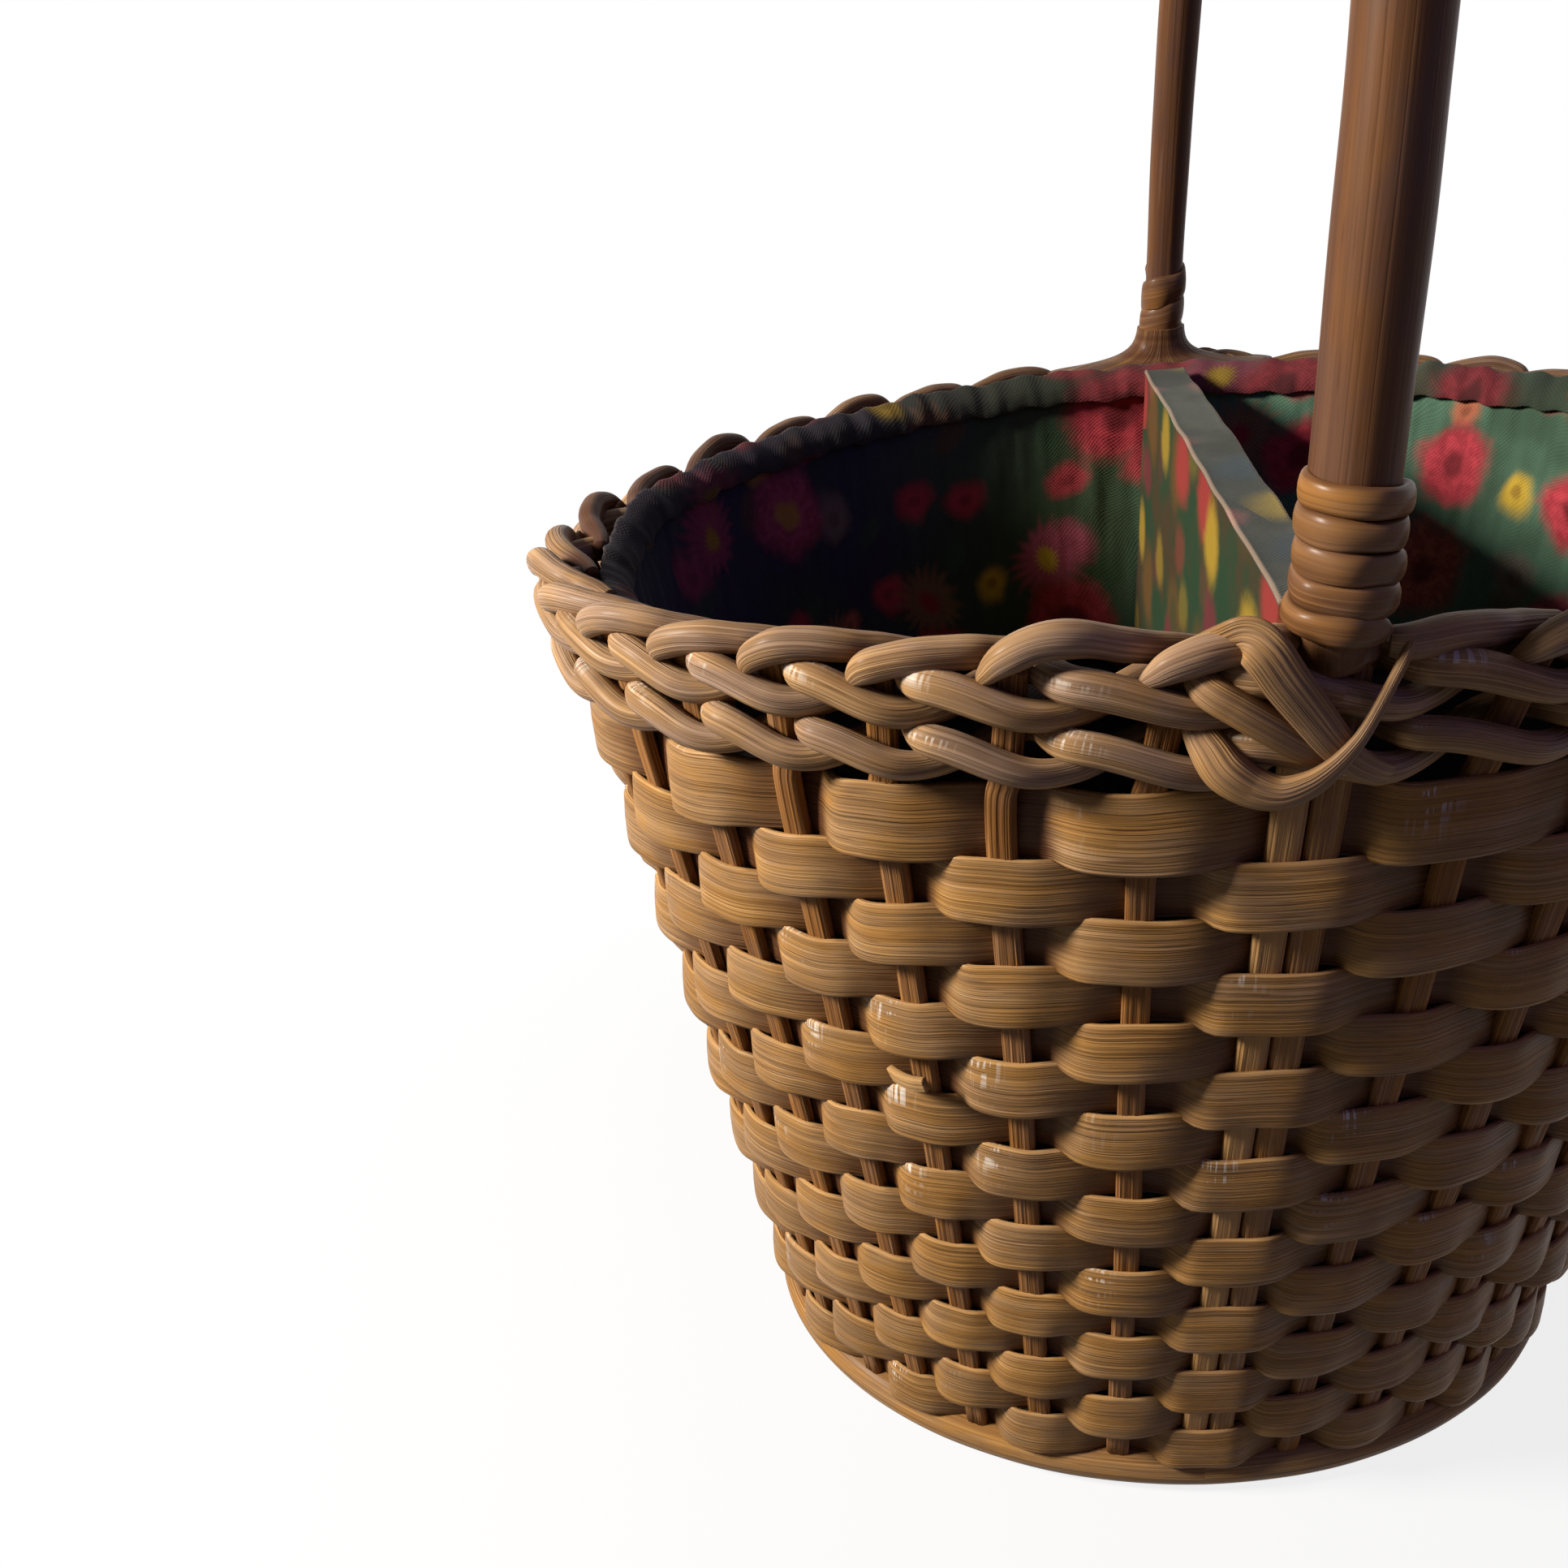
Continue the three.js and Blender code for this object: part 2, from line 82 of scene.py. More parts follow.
class BasketCaneSizes(bpy.types.PropertyGroup):
    """Sections of cane and reed, and the steps between the rows"""

    rod_radius: metres("Foot rod radius", "Radius of the thick cane round the foot", 0.0046)
    stake_width: metres("Stake width", "Width of a grooved stake", 0.0045)
    stake_depth: metres("Stake depth", "Thickness of a grooved stake", 0.0026)
    reed_width: metres("Reed width", "Width of the flat reed", 0.0106)
    reed_thick: metres("Reed thickness", "Thickness of the flat reed", 0.0013)
    row_pitch: metres("Row pitch", "Height from one row of reed to the next", 0.0100)
    first_row: metres("First row", "Level of the lowest row's middle", 0.0145)
    rows: IntProperty(name="Rows", description="Rows of flat reed", default=16)
    cane_radius: metres("Twined cane radius", "Radius of the twined cane", 0.0022)
    twist_rise: metres("Twist rise", "How far twined strands rise and sink about their row", 0.0026)
    twine_first: metres("First twined row", "Level of the lower twined row", 0.1774)
    twine_pitch: metres("Twined row pitch", "Height between the two twined rows", 0.0088)
    twine_top: metres("Top of the twining", "Level at which the stakes start to bend over", 0.1882)
    wall_height: metres("Wall height", "Level of the border's crest", 0.1946)
    gap: metres("Gap", "Clearance between the canes", 0.0003)


class BasketHandleSizes(bpy.types.PropertyGroup):
    """Handle and what holds it"""

    rise: metres("Arch rise", "Height of the arch above its feet", 0.185)
    near_radius: metres("Near radius", "Radius of the handle at the near foot", 0.0054)
    far_radius: metres("Far radius", "Radius of the handle at the far foot", 0.0039)
    tail_width: metres("Tail width", "Width of the double stake under each foot", 0.0104)
    near_turns: FloatProperty(name="Near turns", description="Turns wound round the near foot", default=4.5)
    far_turns: FloatProperty(name="Far turns", description="Turns wound round the far foot", default=3.0)
    near_strand: metres("Near strand width", "Width of the strand wound round the near foot", 0.0037)
    far_strand: metres("Far strand width", "Width of the strand wound round the far foot", 0.0056)
    strand_thick: metres("Strand thickness", "Thickness of the wound strands", 0.0019)
    binding_low: metres("Binding start", "How far above the arch's feet the bindings start", 0.0010)


class BasketClothSizes(bpy.types.PropertyGroup):
    """Lining, divider and floor pads"""

    foot_offset: metres("Lining foot offset", "How far inside the stakes the lining is at the board", 0.00558)
    top_offset: metres("Lining top offset", "How far inside the stakes the lining is at the rim", 0.0077)
    thick: metres("Lining thickness", "Thickness of card and cloth together", 0.0016)
    board_top: metres("Board top", "Height of the base board's upper face", 0.007)
    lining_top: metres("Lining top", "Level of the lining's upper edge", 0.190)
    hem_depth: metres("Hem depth", "How far the folded hem hangs down inside", 0.0065)
    divider_thick: metres("Divider thickness", "Thickness of the covered divider", 0.0085)
    divider_top: metres("Divider top", "Height of the divider's upper edge", 0.193)


class BasketColours(bpy.types.PropertyGroup):
    """Colours of the cane and the printed cloth"""

    reed_light: paint("Reed light", "Raised parts of the flat reed", (0.385, 0.218, 0.078))
    reed_mid: paint("Reed middle", "Body of the flat reed", (0.280, 0.147, 0.048))
    # reed_dark is the colour that the painted shade in the weave's recesses, under the canes and on the far
    # side darkens to, and the colour of the pores
    reed_dark: paint("Reed dark", "Stain in the recesses of the weave", (0.060, 0.020, 0.009))
    stake_light: paint("Stake light", "Ribs of the grooved stakes", (0.345, 0.166, 0.052))
    stake_mid: paint("Stake middle", "Body of the grooved stakes", (0.216, 0.096, 0.028))
    cane_light: paint("Cane light", "Fibres of the twined cane and the border", (0.430, 0.276, 0.150))
    cane_mid: paint("Cane middle", "Body of the twined cane and the border", (0.295, 0.173, 0.084))
    handle_light: paint("Handle light", "Worn parts of the handle", (0.142, 0.067, 0.031))
    handle_mid: paint("Handle middle", "Body of the handle", (0.077, 0.034, 0.018))
    foot_mid: paint("Foot rod middle", "Body of the foot rod", (0.285, 0.146, 0.047))
    cloth_green: paint("Cloth green", "Green parts of the cloth's ground", (0.046, 0.074, 0.038))
    # The night blue on the left of the cloth is partly the print's dark ground and partly painted shade. The
    # lighter moss on the right is partly the cloth's own colour and partly painted light.
    cloth_night: paint("Cloth night blue", "Darkest parts of the ground", (0.020, 0.017, 0.042))
    cloth_moss: paint("Cloth moss", "Worn grey green of the ground on the right", (0.085, 0.165, 0.108))
    # The divider top's lighter grey green is partly the cloth's own colour and partly painted light
    cloth_top: paint("Cloth top", "Faded grey green along the divider's top", (0.085, 0.092, 0.075))
    rose: paint("Rose", "Crimson blossoms", (0.440, 0.046, 0.062))
    pink: paint("Pink", "Magenta blossoms", (0.420, 0.083, 0.135))
    yellow: paint("Yellow", "Yellow petals and leaves", (0.520, 0.330, 0.030))
    salmon: paint("Salmon", "Salmon blossoms", (0.450, 0.135, 0.070))
    chalk: paint("Chalk", "Pale grey blossoms", (0.170, 0.140, 0.115))


# Handwork and curves


def wobble(x, seed, reach=1.0):
    """Unevenness of handwork: the mean of three sines of x whose wavelengths don't divide each other,
    turned by the seed."""
    x = np.asarray(x, float)
    waves = np.sin(x + 1.7 * seed) + np.sin(2.3 * x + 2.9 * seed + 1) + np.sin(4.1 * x + 4.3 * seed + 2)
    return reach * waves / 3


def smooth_step(x):
    """Zero below 0, one above 1, and 3x squared less 2x cubed between."""
    x = np.clip(x, 0, 1)
    return x * x * (3 - 2 * x)


def bell(x):
    """Bell curve: e to the power of minus x squared."""
    return np.exp(-np.square(x))


def spline(knots, count):
    """Curve through rows of numbers: a cubic between each two knots, whose slope at a knot is half the step
    from the knot before to the knot after."""
    knots = np.asarray(knots, float)
    padded = np.vstack([2 * knots[0] - knots[1], knots, 2 * knots[-1] - knots[-2]])
    t = np.linspace(0, len(knots) - 1, count)
    i = np.minimum(t.astype(int), len(knots) - 2)
    f = (t - i)[:, None]
    a, b, c, d = padded[i], padded[i + 1], padded[i + 2], padded[i + 3]
    return b + 0.5 * f * (c - a + f * (2 * a - 5 * b + 4 * c - d + f * (3 * (b - c) + d - a)))


def woven(step, stiff, skew, lean):
    """Distance of a strand from the stakes' line, 1 outside an even stake and -1 inside an odd one: the
    hyperbolic tangent of a cosine of the step in stakes, raised by the lean and made steeper on the left by
    a sine times the skew."""
    turn = np.pi * step
    bend = np.tanh(stiff * (1 - skew * np.sin(turn)) * (np.cos(turn) + lean))
    return np.where(bend > 0, bend / np.tanh(stiff * (1 + lean)), bend / np.tanh(stiff * (1 - lean)))


def glitter(step, shift, reach, seed, share):
    """Bell curves beside the even stakes, moved from them by the shift, at the share of them that the
    fractional part of a large sine picks. They mark where the painted glints go."""
    off = (step + 1) % 2 - 1
    own = np.abs(np.sin((np.floor((step + 1) / 2) + 17 * seed) * 12.9898) * 437.585) % 1
    return bell((off - shift) / reach) * smooth_step((own - 1 + share) / 0.15)


def unit(v):
    return v / np.linalg.norm(v, axis=-1, keepdims=True)


def run_length(path):
    """Distance along a path at each of its points."""
    return np.concatenate([[0], np.cumsum(np.linalg.norm(np.diff(path, axis=0), axis=1))])


def ring_length(path):
    """Distance along a closed path, back to its first point."""
    return run_length(np.vstack([path, path[:1]]))


class Basket:
    """The sizes, the colours and the leaning oval surface of the stakes. A place is counted in stakes from
    the near handle foot to the right, and a level is a height up the wall."""

    def __init__(self, scene):
        self.wall, self.cane, self.handle = scene.basket_wall, scene.basket_cane, scene.basket_handle
        self.cloth, self.colours = scene.basket_cloth, scene.basket_colours
        self.stakes, self.height = self.wall.stakes, self.cane.wall_height
        self.far = self.stakes / 2
        self.foot_top = 2 * self.cane.rod_radius
        self.turns = np.linspace(-TAU / 4, 3 * TAU / 4, 1441)
        self.lengths = run_length(self.line(self.turns, self.height / 2)[:, :2])
        self.round = float(self.lengths[-1])

    def line(self, angle, level):
        """Ellipse whose half axes and shift along Y grow evenly with the level; its height sinks with the
        square of the angle's cosine."""
        w = self.wall
        angle, level = np.broadcast_arrays(np.asarray(angle, float), np.asarray(level, float))
        share = level / self.height
        a = w.base_a + (w.rim_a - w.base_a) * share
        b = w.base_b + (w.rim_b - w.base_b) * share
        dip = w.rim_dip / (self.height - self.foot_top) * np.cos(angle) ** 2
        z = self.foot_top + (level - self.foot_top) * (1 - dip)
        return np.stack([a * np.cos(angle), b * np.sin(angle) + w.rim_shift * share, z], -1)

    def normal_at(self, angle, level):
        """Outward normal: the cross product of a small step round and a small step up."""
        round_step = self.line(angle + 1e-3, level) - self.line(angle - 1e-3, level)
        up_step = self.line(angle, level + 5e-4) - self.line(angle, level - 5e-4)
        return unit(np.cross(round_step, up_step))

    def level_out(self, angle):
        """Outward direction at the table, laid level."""
        return unit(self.normal_at(angle, 0.0) * [1, 1, 0])

    def angle(self, place):
        """Ellipse angle of a place: equal lengths round the wall, eased by a cosine so that both handle
        feet stand where they should, and by three sines that spread the stakes beside them."""
        w, place = self.wall, np.asarray(place, float)
        turn = TAU * place / self.stakes
        shift = w.near_foot_x * (1 + np.cos(turn)) / 2 - w.far_foot_x * (1 - np.cos(turn)) / 2
        spread = sum(reach * np.sin(2 * (n + 1) * turn) for n, reach in enumerate(w.foot_spread))
        run = self.round * (place + spread) / self.stakes + shift
        laps = np.floor(run / self.round)
        return np.interp(run - laps * self.round, self.lengths, self.turns) + TAU * laps

    def normal(self, place, level):
        return self.normal_at(self.angle(place), level)

    def beside(self, place, level, out=0.0):
        """Point at a place and level, moved along the outward normal."""
        angle = self.angle(place)
        return self.line(angle, level) + self.normal_at(angle, level) * np.asarray(out, float)[..., None]

    def laid(self, place, level, out=0.0):
        """Path through places and levels, and the outward directions along it."""
        return self.beside(place, level, out), self.normal(place, level)

    def pitch(self, place, level):
        """Distance between neighbouring stakes."""
        step = self.line(self.angle(place + 0.5), level) - self.line(self.angle(place - 0.5), level)
        return np.linalg.norm(step, axis=-1)

    def backward(self, place):
        """One on the far side and zero on the near side, eased by the cosine of the turn."""
        return smooth_step((0.10 - np.cos(TAU * np.asarray(place, float) / self.stakes)) / 0.35)

    def foot_distance(self, place):
        """Distance in stakes to the nearer handle foot."""
        return np.abs((np.asarray(place, float) + self.far / 2) % self.far - self.far / 2)

    def is_foot(self, stake):
        return self.foot_distance(stake) < 0.5


class Arch:
    """Centre line of the handle: half an ellipse from the near foot to the far one."""

    def __init__(self, basket):
        self.handle = basket.handle
        start = basket.cane.twine_top + 0.005
        near, far = (basket.line(basket.angle(place), start) for place in (0.0, basket.far))
        self.middle = (near + far) / 2
        span = (far - near) * [1, 1, 0]
        self.reach = np.linalg.norm(span) / 2
        self.way = unit(span)

    def at(self, share):
        """Centre, outward direction and radius at a share of the half turn, 0 at the near foot."""
        h, turn = self.handle, np.pi * share[..., None]
        centre = self.middle - self.way * self.reach * np.cos(turn) + UP * h.rise * np.sin(turn)
        out = unit(-self.way * np.cos(turn) / self.reach + UP * np.sin(turn) / h.rise)
        return centre, out, h.near_radius + (h.far_radius - h.near_radius) * share

    def above_foot(self, rise, near):
        """The same at a height above one of its feet, by the arcsine of the height over the rise."""
        share = np.arcsin(rise / self.handle.rise) / np.pi
        return self.at(share if near else 1 - share)


# Surfaces


def carpet(name, grid, along, across, tone=0.0, seed=0.0, ring=False, glint=0.0):
    """Closed skin over a grid of points, the first index ahead along the piece and the second round it.
    Each face corner keeps its length along, its length across and the piece's seed in the attribute lay, and
    each point keeps its darkness in tone, which the finishes mostly turn into painted shade and painted
    highlight, and the strength of its painted glints in glint."""
    rows, columns = grid.shape[:2]
    index = np.arange(rows * columns).reshape(rows, columns)
    if ring:
        index = np.vstack([index, index[:1]])
    index = np.hstack([index, index[:, :1]])
    here, ahead = slice(None, -1), slice(1, None)
    corners = [(here, here), (here, ahead), (ahead, ahead), (ahead, here)]
    faces = np.stack([index[c] for c in corners], -1).reshape(-1, 4).tolist()
    far, wide = np.meshgrid(along, across, indexing="ij")
    place = np.stack([far, wide, np.full(far.shape, float(seed))], -1)
    lay = np.stack([place[c] for c in corners], -2).reshape(-1, 3)
    if not ring:
        faces += [index[0, :-1][::-1].tolist(), index[-1, :-1].tolist()]
        lay = np.vstack([lay, place[0, :-1][::-1], place[-1, :-1]])
    mesh = bpy.data.meshes.new(name)
    mesh.from_pydata(grid.reshape(-1, 3).tolist(), [], faces)
    mesh.attributes.new("lay", "FLOAT_VECTOR", "CORNER").data.foreach_set("vector", lay.ravel())
    for key, value in (("tone", tone), ("glint", glint)):
        value = np.broadcast_to(np.asarray(value, float), (rows, columns)).ravel()
        mesh.attributes.new(key, "FLOAT", "POINT").data.foreach_set("value", value)
    mesh.shade_smooth()
    piece = bpy.data.objects.new(name, mesh)
    bpy.context.scene.collection.objects.link(piece)
    return piece


def settle(piece, look, nodes=()):
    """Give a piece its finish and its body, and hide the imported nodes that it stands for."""
    material, slot = look
    piece.data.materials.append(material)
    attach(piece, BODY)
    if nodes:
        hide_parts(*nodes)
    return piece


def section(sides, square=1.0):
    """Unit outline: cosine and sine, each raised to the power square, so that below one the corners fill
    out."""
    t = TAU * np.arange(sides) / sides
    c, s = np.cos(t), np.sin(t)
    return np.sign(c) * np.abs(c) ** square, np.sign(s) * np.abs(s) ** square


def ribbed(outline, strands, depth):
    """Depth of an outline with lengthwise strands: it grows and sinks with the size of a cosine
    across the width."""
    x, y = outline
    return y * (1 + depth * (np.abs(np.cos(np.pi * strands * x / 2)) - 0.6))


def grooved(square):
    """Outline of a stake, its depth with six ribs, and the painted shade of its grooves: one where the size
    of a cosine of three half turns over the half width is small."""
    outline = section(46, square)
    groove_shade = smooth_step((0.42 - np.abs(np.cos(np.pi * 3 * outline[0]))) / 0.3)
    return outline, ribbed(outline, 6, 0.14), groove_shade


def tapered(count, ends):
    """One in the middle and falling like a quarter circle to a third over the given share at both ends."""
    t = np.linspace(0, 1, count)
    near = np.clip(np.minimum(t, 1 - t) / ends, 0, 1)
    return 0.33 + 0.67 * np.sqrt(1 - (1 - near) ** 2)


def pipe(path, out, size, x, y, ring):
    """Outline carried along a path: half sizes times x across the path and y along the outward direction,
    which is squared to the path at each point. Nothing goes below the table."""
    ahead = np.roll(path, -1, 0) - np.roll(path, 1, 0) if ring else np.gradient(path, axis=0)
    ahead = unit(ahead)
    out = unit(out - ahead * np.sum(out * ahead, -1, keepdims=True))
    half, deep = (np.broadcast_to(v, len(path))[:, None, None] for v in size)
    side = np.cross(out, ahead)[:, None]
    grid = path[:, None] + side * half * x[:, None] + out[:, None] * deep * y[:, None]
    grid[..., 2] = np.maximum(grid[..., 2], 0.0)
    return grid


def strand(name, path, out, size, lay, outline, tone, seed, look, nodes=(), ribs=None, least=0.0,
           ring=False, glint=0.0):
    """Length of cane: an outline, or its ribs in place of its depth, carried along a path at the half
    sizes. Its grain is laid round it by the half sizes in lay, and its tone stays between least and one."""
    x, y = outline
    grid = pipe(path, out, size, x, y if ribs is None else ribs, ring)
    along = ring_length(path) if ring else run_length(path)
    half, deep = lay
    across = ring_length(np.stack([half * x, deep * y], -1))
    piece = carpet(name, grid, along, across, np.clip(tone, least, 1), seed, ring, glint)
    settle(piece, look, nodes)


# Materials


class Wire:
    """A value in a material, with the signs of arithmetic."""

    def __init__(self, bench, socket):
        self.bench, self.socket = bench, socket

    def maths(self, operation, *values):
        return self.bench.node("ShaderNodeMath", {"operation": operation}, dict(enumerate(values)))

    def __add__(self, other):
        return self.maths("ADD", self, other)

    __radd__ = __add__

    def __sub__(self, other):
        return self.maths("SUBTRACT", self, other)

    def __rsub__(self, other):
        return self.maths("SUBTRACT", other, self)

    def __mul__(self, other):
        return self.maths("MULTIPLY", self, other)

    __rmul__ = __mul__

    def __truediv__(self, other):
        return self.maths("DIVIDE", self, other)

    def __pow__(self, other):
        return self.maths("POWER", self, other)

    def sine(self):
        return self.maths("SINE", self)

    def other(self, name):
        """Another output of the same node."""
        return Wire(self.bench, self.socket.node.outputs[name])


class Bench:
    """Empty node tree of a material or a world, under work."""

    def __init__(self, owner):
        owner.use_nodes = True
        self.owner, self.tree = owner, owner.node_tree
        self.tree.nodes.clear()

    def node(self, kind, settings=None, inputs=None, output=0):
        """Add a node: its settings first, with stops for a ramp, then values or wires for its sockets."""
        made = self.tree.nodes.new(kind)
        for key, value in (settings or {}).items():
            if key == "stops":
                ramp = made.color_ramp
                ramp.interpolation = "CONSTANT"
                while len(ramp.elements) < len(value):
                    ramp.elements.new(1.0)
                for stop, (where, shade) in zip(ramp.elements, value):
                    stop.position, stop.color = where, (*shade, 1)
            else:
                setattr(made, key, value)
        for key, value in (inputs or {}).items():
            socket = made.inputs[key]
            if isinstance(value, Wire):
                self.tree.links.new(value.socket, socket)
            else:
                socket.default_value = (*value, 1) if socket.type == "RGBA" else value
        return Wire(self, made.outputs[output]) if made.outputs else None

    def attribute(self, name, output="Fac"):
        return self.node("ShaderNodeAttribute", {"attribute_name": name}, output=output)

    def split(self, vector):
        x = self.node("ShaderNodeSeparateXYZ", None, {0: vector}, "X")
        return x, x.other("Y"), x.other("Z")

    def join(self, x, y, z=0.0):
        return self.node("ShaderNodeCombineXYZ", None, {0: x, 1: y, 2: z})

    def vector(self, operation, *values):
        return self.node("ShaderNodeVectorMath", {"operation": operation}, dict(enumerate(values)))

    def noise(self, vector, scale, detail=3.0, rough=0.55):
        inputs = {"Vector": vector, "Scale": scale, "Detail": detail, "Roughness": rough}
        return self.node("ShaderNodeTexNoise", None, inputs, "Fac")

    def grain(self, along, across, seed, detail, rough=0.55):
        """Noise on lengths that are already scaled, each its own way."""
        return self.noise(self.join(along, across, seed), 1.0, detail, rough)

    def between(self, value, low, high, start=0.0, end=1.0):
        """Value eased from start to end as it goes from low to high."""
        inputs = {"Value": value, "From Min": low, "From Max": high, "To Min": start, "To Max": end}
        return self.node("ShaderNodeMapRange", {"interpolation_type": "SMOOTHSTEP"}, inputs)

    def blend(self, share, first, second, way="MIX"):
        """Mix of two colours."""
        settings = {"data_type": "RGBA", "blend_type": way}
        return self.node("ShaderNodeMix", settings, {0: share, 6: first, 7: second}, 2)

    def tints(self, value, *stops):
        """Steps of colour picked by a number."""
        return self.node("ShaderNodeValToRGB", {"stops": stops}, {0: value}, "Color")

    def bump(self, height, strength, distance):
        inputs = {"Height": height, "Strength": strength, "Distance": distance}
        return self.node("ShaderNodeBump", None, inputs)

    def finish(self, **sockets):
        """Principled shader on the output, with socket names written with underscores."""
        inputs = {key.replace("_", " "): value for key, value in sockets.items()}
        shader = self.node("ShaderNodeBsdfPrincipled", None, inputs)
        self.node("ShaderNodeOutputMaterial", None, {"Surface": shader})
        return self.owner


def dyed(colour, share, lift=0.0):
    """Colour made darker or lighter."""
    return [min(1.0, share * v + lift) for v in colour]


def cane_finish(name, light, mid, fine=1.0, gloss=0.42, coat=0.05, relief=0.5, glint=0.0, lines=1.0):
    """Split cane: thin dark and pale lines and fine streaks along the piece, slow patches that drift from
    yellow to mauve, and pores drawn out as dashes. It darkens where tone is high, which is painted shade with
    a random variation of the cane's own tone. It lightens where tone is below zero, which is a painted
    highlight, and also the pale cut end of the reed. Painted glints, rows of short bright dashes across the
    grain, go where the attribute glint is high."""
    made = Bench(bpy.data.materials.new(name))
    dark = bpy.context.scene.basket_colours.reed_dark
    along, across, seed = made.split(made.attribute("lay", "Vector"))
    tone = made.attribute("tone")
    fibre = made.grain(along * 14.0, across * (1900.0 * fine), seed * 13.7, 2.0, 0.6)
    line = made.grain(along * 5.0, across * (1700.0 * fine), seed * 9.1, 1.0, 0.4) - 0.5
    pale = made.grain(along * 9.0, across * (1500.0 * fine), seed * 6.3 + 4.0, 1.0, 0.4) - 0.56
    streak = made.grain(along * 7.0, across * (380.0 * fine), seed * 5.1, 3.0)
    patch = made.grain(along * 34.0, across * 60.0, seed * 3.3, 4.0)
    pore = made.grain(along * 120.0, across * 2400.0, seed * 2.9, 1.0)
    hue = made.grain(along * 60.0, across * 160.0, seed * 8.8 + 2.0, 3.0, 0.6)
    body = made.blend(made.between(streak, 0.30, 0.70), mid, light)
    body = made.blend(made.between(fibre, 0.42, 0.62) * (0.50 * lines), body, dyed(mid, 0.58))
    body = made.blend(made.between(line * line, 0.0022, 0.0002) * (0.50 * lines), body, dyed(mid, 0.45))
    pale = made.between(pale * pale, 0.0014, 0.0001) * made.between(patch, 0.36, 0.60)
    body = made.blend(pale * (0.55 * lines), body, dyed(light, 1.5, 0.06))
    old = [0.62 * m + 0.2 * d for m, d in zip(mid, dark)]
    body = made.blend(made.between(patch, 0.38, 0.74) * 0.40, body, old)
    drift = made.blend(made.between(hue, 0.38, 0.62), (1.08, 1.00, 0.84), (0.93, 0.95, 1.16))
    body = made.blend(1.0, body, drift, "MULTIPLY")
    body = made.blend(made.between(pore, 0.62, 0.76) * 0.45, body, dark)
    # Painted shade: tone darkens the cane; it also holds a random variation of the cane's own tone
    body = made.blend(made.between(tone, 0.0, 1.0) * 0.95, body, dark)
    # Painted highlight: tone below zero lightens the cane, and the reed's cut end is pale
    body = made.blend(made.between(tone, -0.05, -0.5) * 0.6, body, dyed(light, 1.4, 0.02))
    # Painted glints: short bright dashes across the grain
    if glint:
        dash = made.grain(along * 2000.0, across * 130.0, seed * 7.7, 1.0)
        broken = made.grain(along * 130.0, across * 520.0, seed * 1.9, 1.0)
        bright = made.between(dash, 0.50, 0.60) * made.between(broken, 0.48, 0.60) * made.attribute("glint")
        body = made.blend(bright * glint, body, (0.74, 0.68, 0.60))
    height = made.between(fibre, 0.3, 0.7) * 0.6 + made.between(line * line, 0.0, 0.003) * 0.6 + pore * 0.3
    rough = made.between(streak + fibre, 0.7, 1.3, gloss + 0.14, gloss - 0.04)
    return made.finish(Base_Color=body, Roughness=rough, Normal=made.bump(height, relief, 0.0003),
                       Specular_IOR_Level=0.05, Coat_Weight=coat, Coat_Roughness=0.25)


def blossom(made, place, size, radius, petals, chance, shift, soft=0.25, lobes=0.08):
    """Blossoms of a scattered print: in each cell of a point pattern one flower, whose edge swells and
    shrinks with the sine of petals times the angle about its point and fades softly. Gives the flower's
    mask, its heart's mask, its distance from the heart and a number of its own."""
    spot = made.vector("MULTIPLY_ADD", place, (1 / size,) * 3, (shift, 0.37 * shift, 0))
    settings = {"voronoi_dimensions": "2D", "feature": "F1"}
    inputs = {"Vector": spot, "Scale": 1.0, "Randomness": 0.58}
    cell = made.node("ShaderNodeTexVoronoi", settings, inputs, "Distance")
    first = made.node("ShaderNodeSeparateColor", None, {0: cell.other("Color")}, 0)
    own = first.other("Green")
    x, y, _ = made.split(made.vector("SUBTRACT", spot, cell.other("Position")))
    turn = x.maths("ARCTAN2", y, x) * petals + first * 6.0
    ragged = made.noise(place, 600.0, 2.0) * 0.28 - 0.14
    reach = cell * (1.0 + lobes * turn.sine() + ragged) / (0.72 + 0.46 * own) * (size / radius)
    there = made.between(first, 1 - chance, 1 - chance + 0.01)
    flower, heart = made.between(reach, 1 + soft, 1 - soft), made.between(reach, 0.50, 0.18)
    return flower * there, heart * there, reach, own


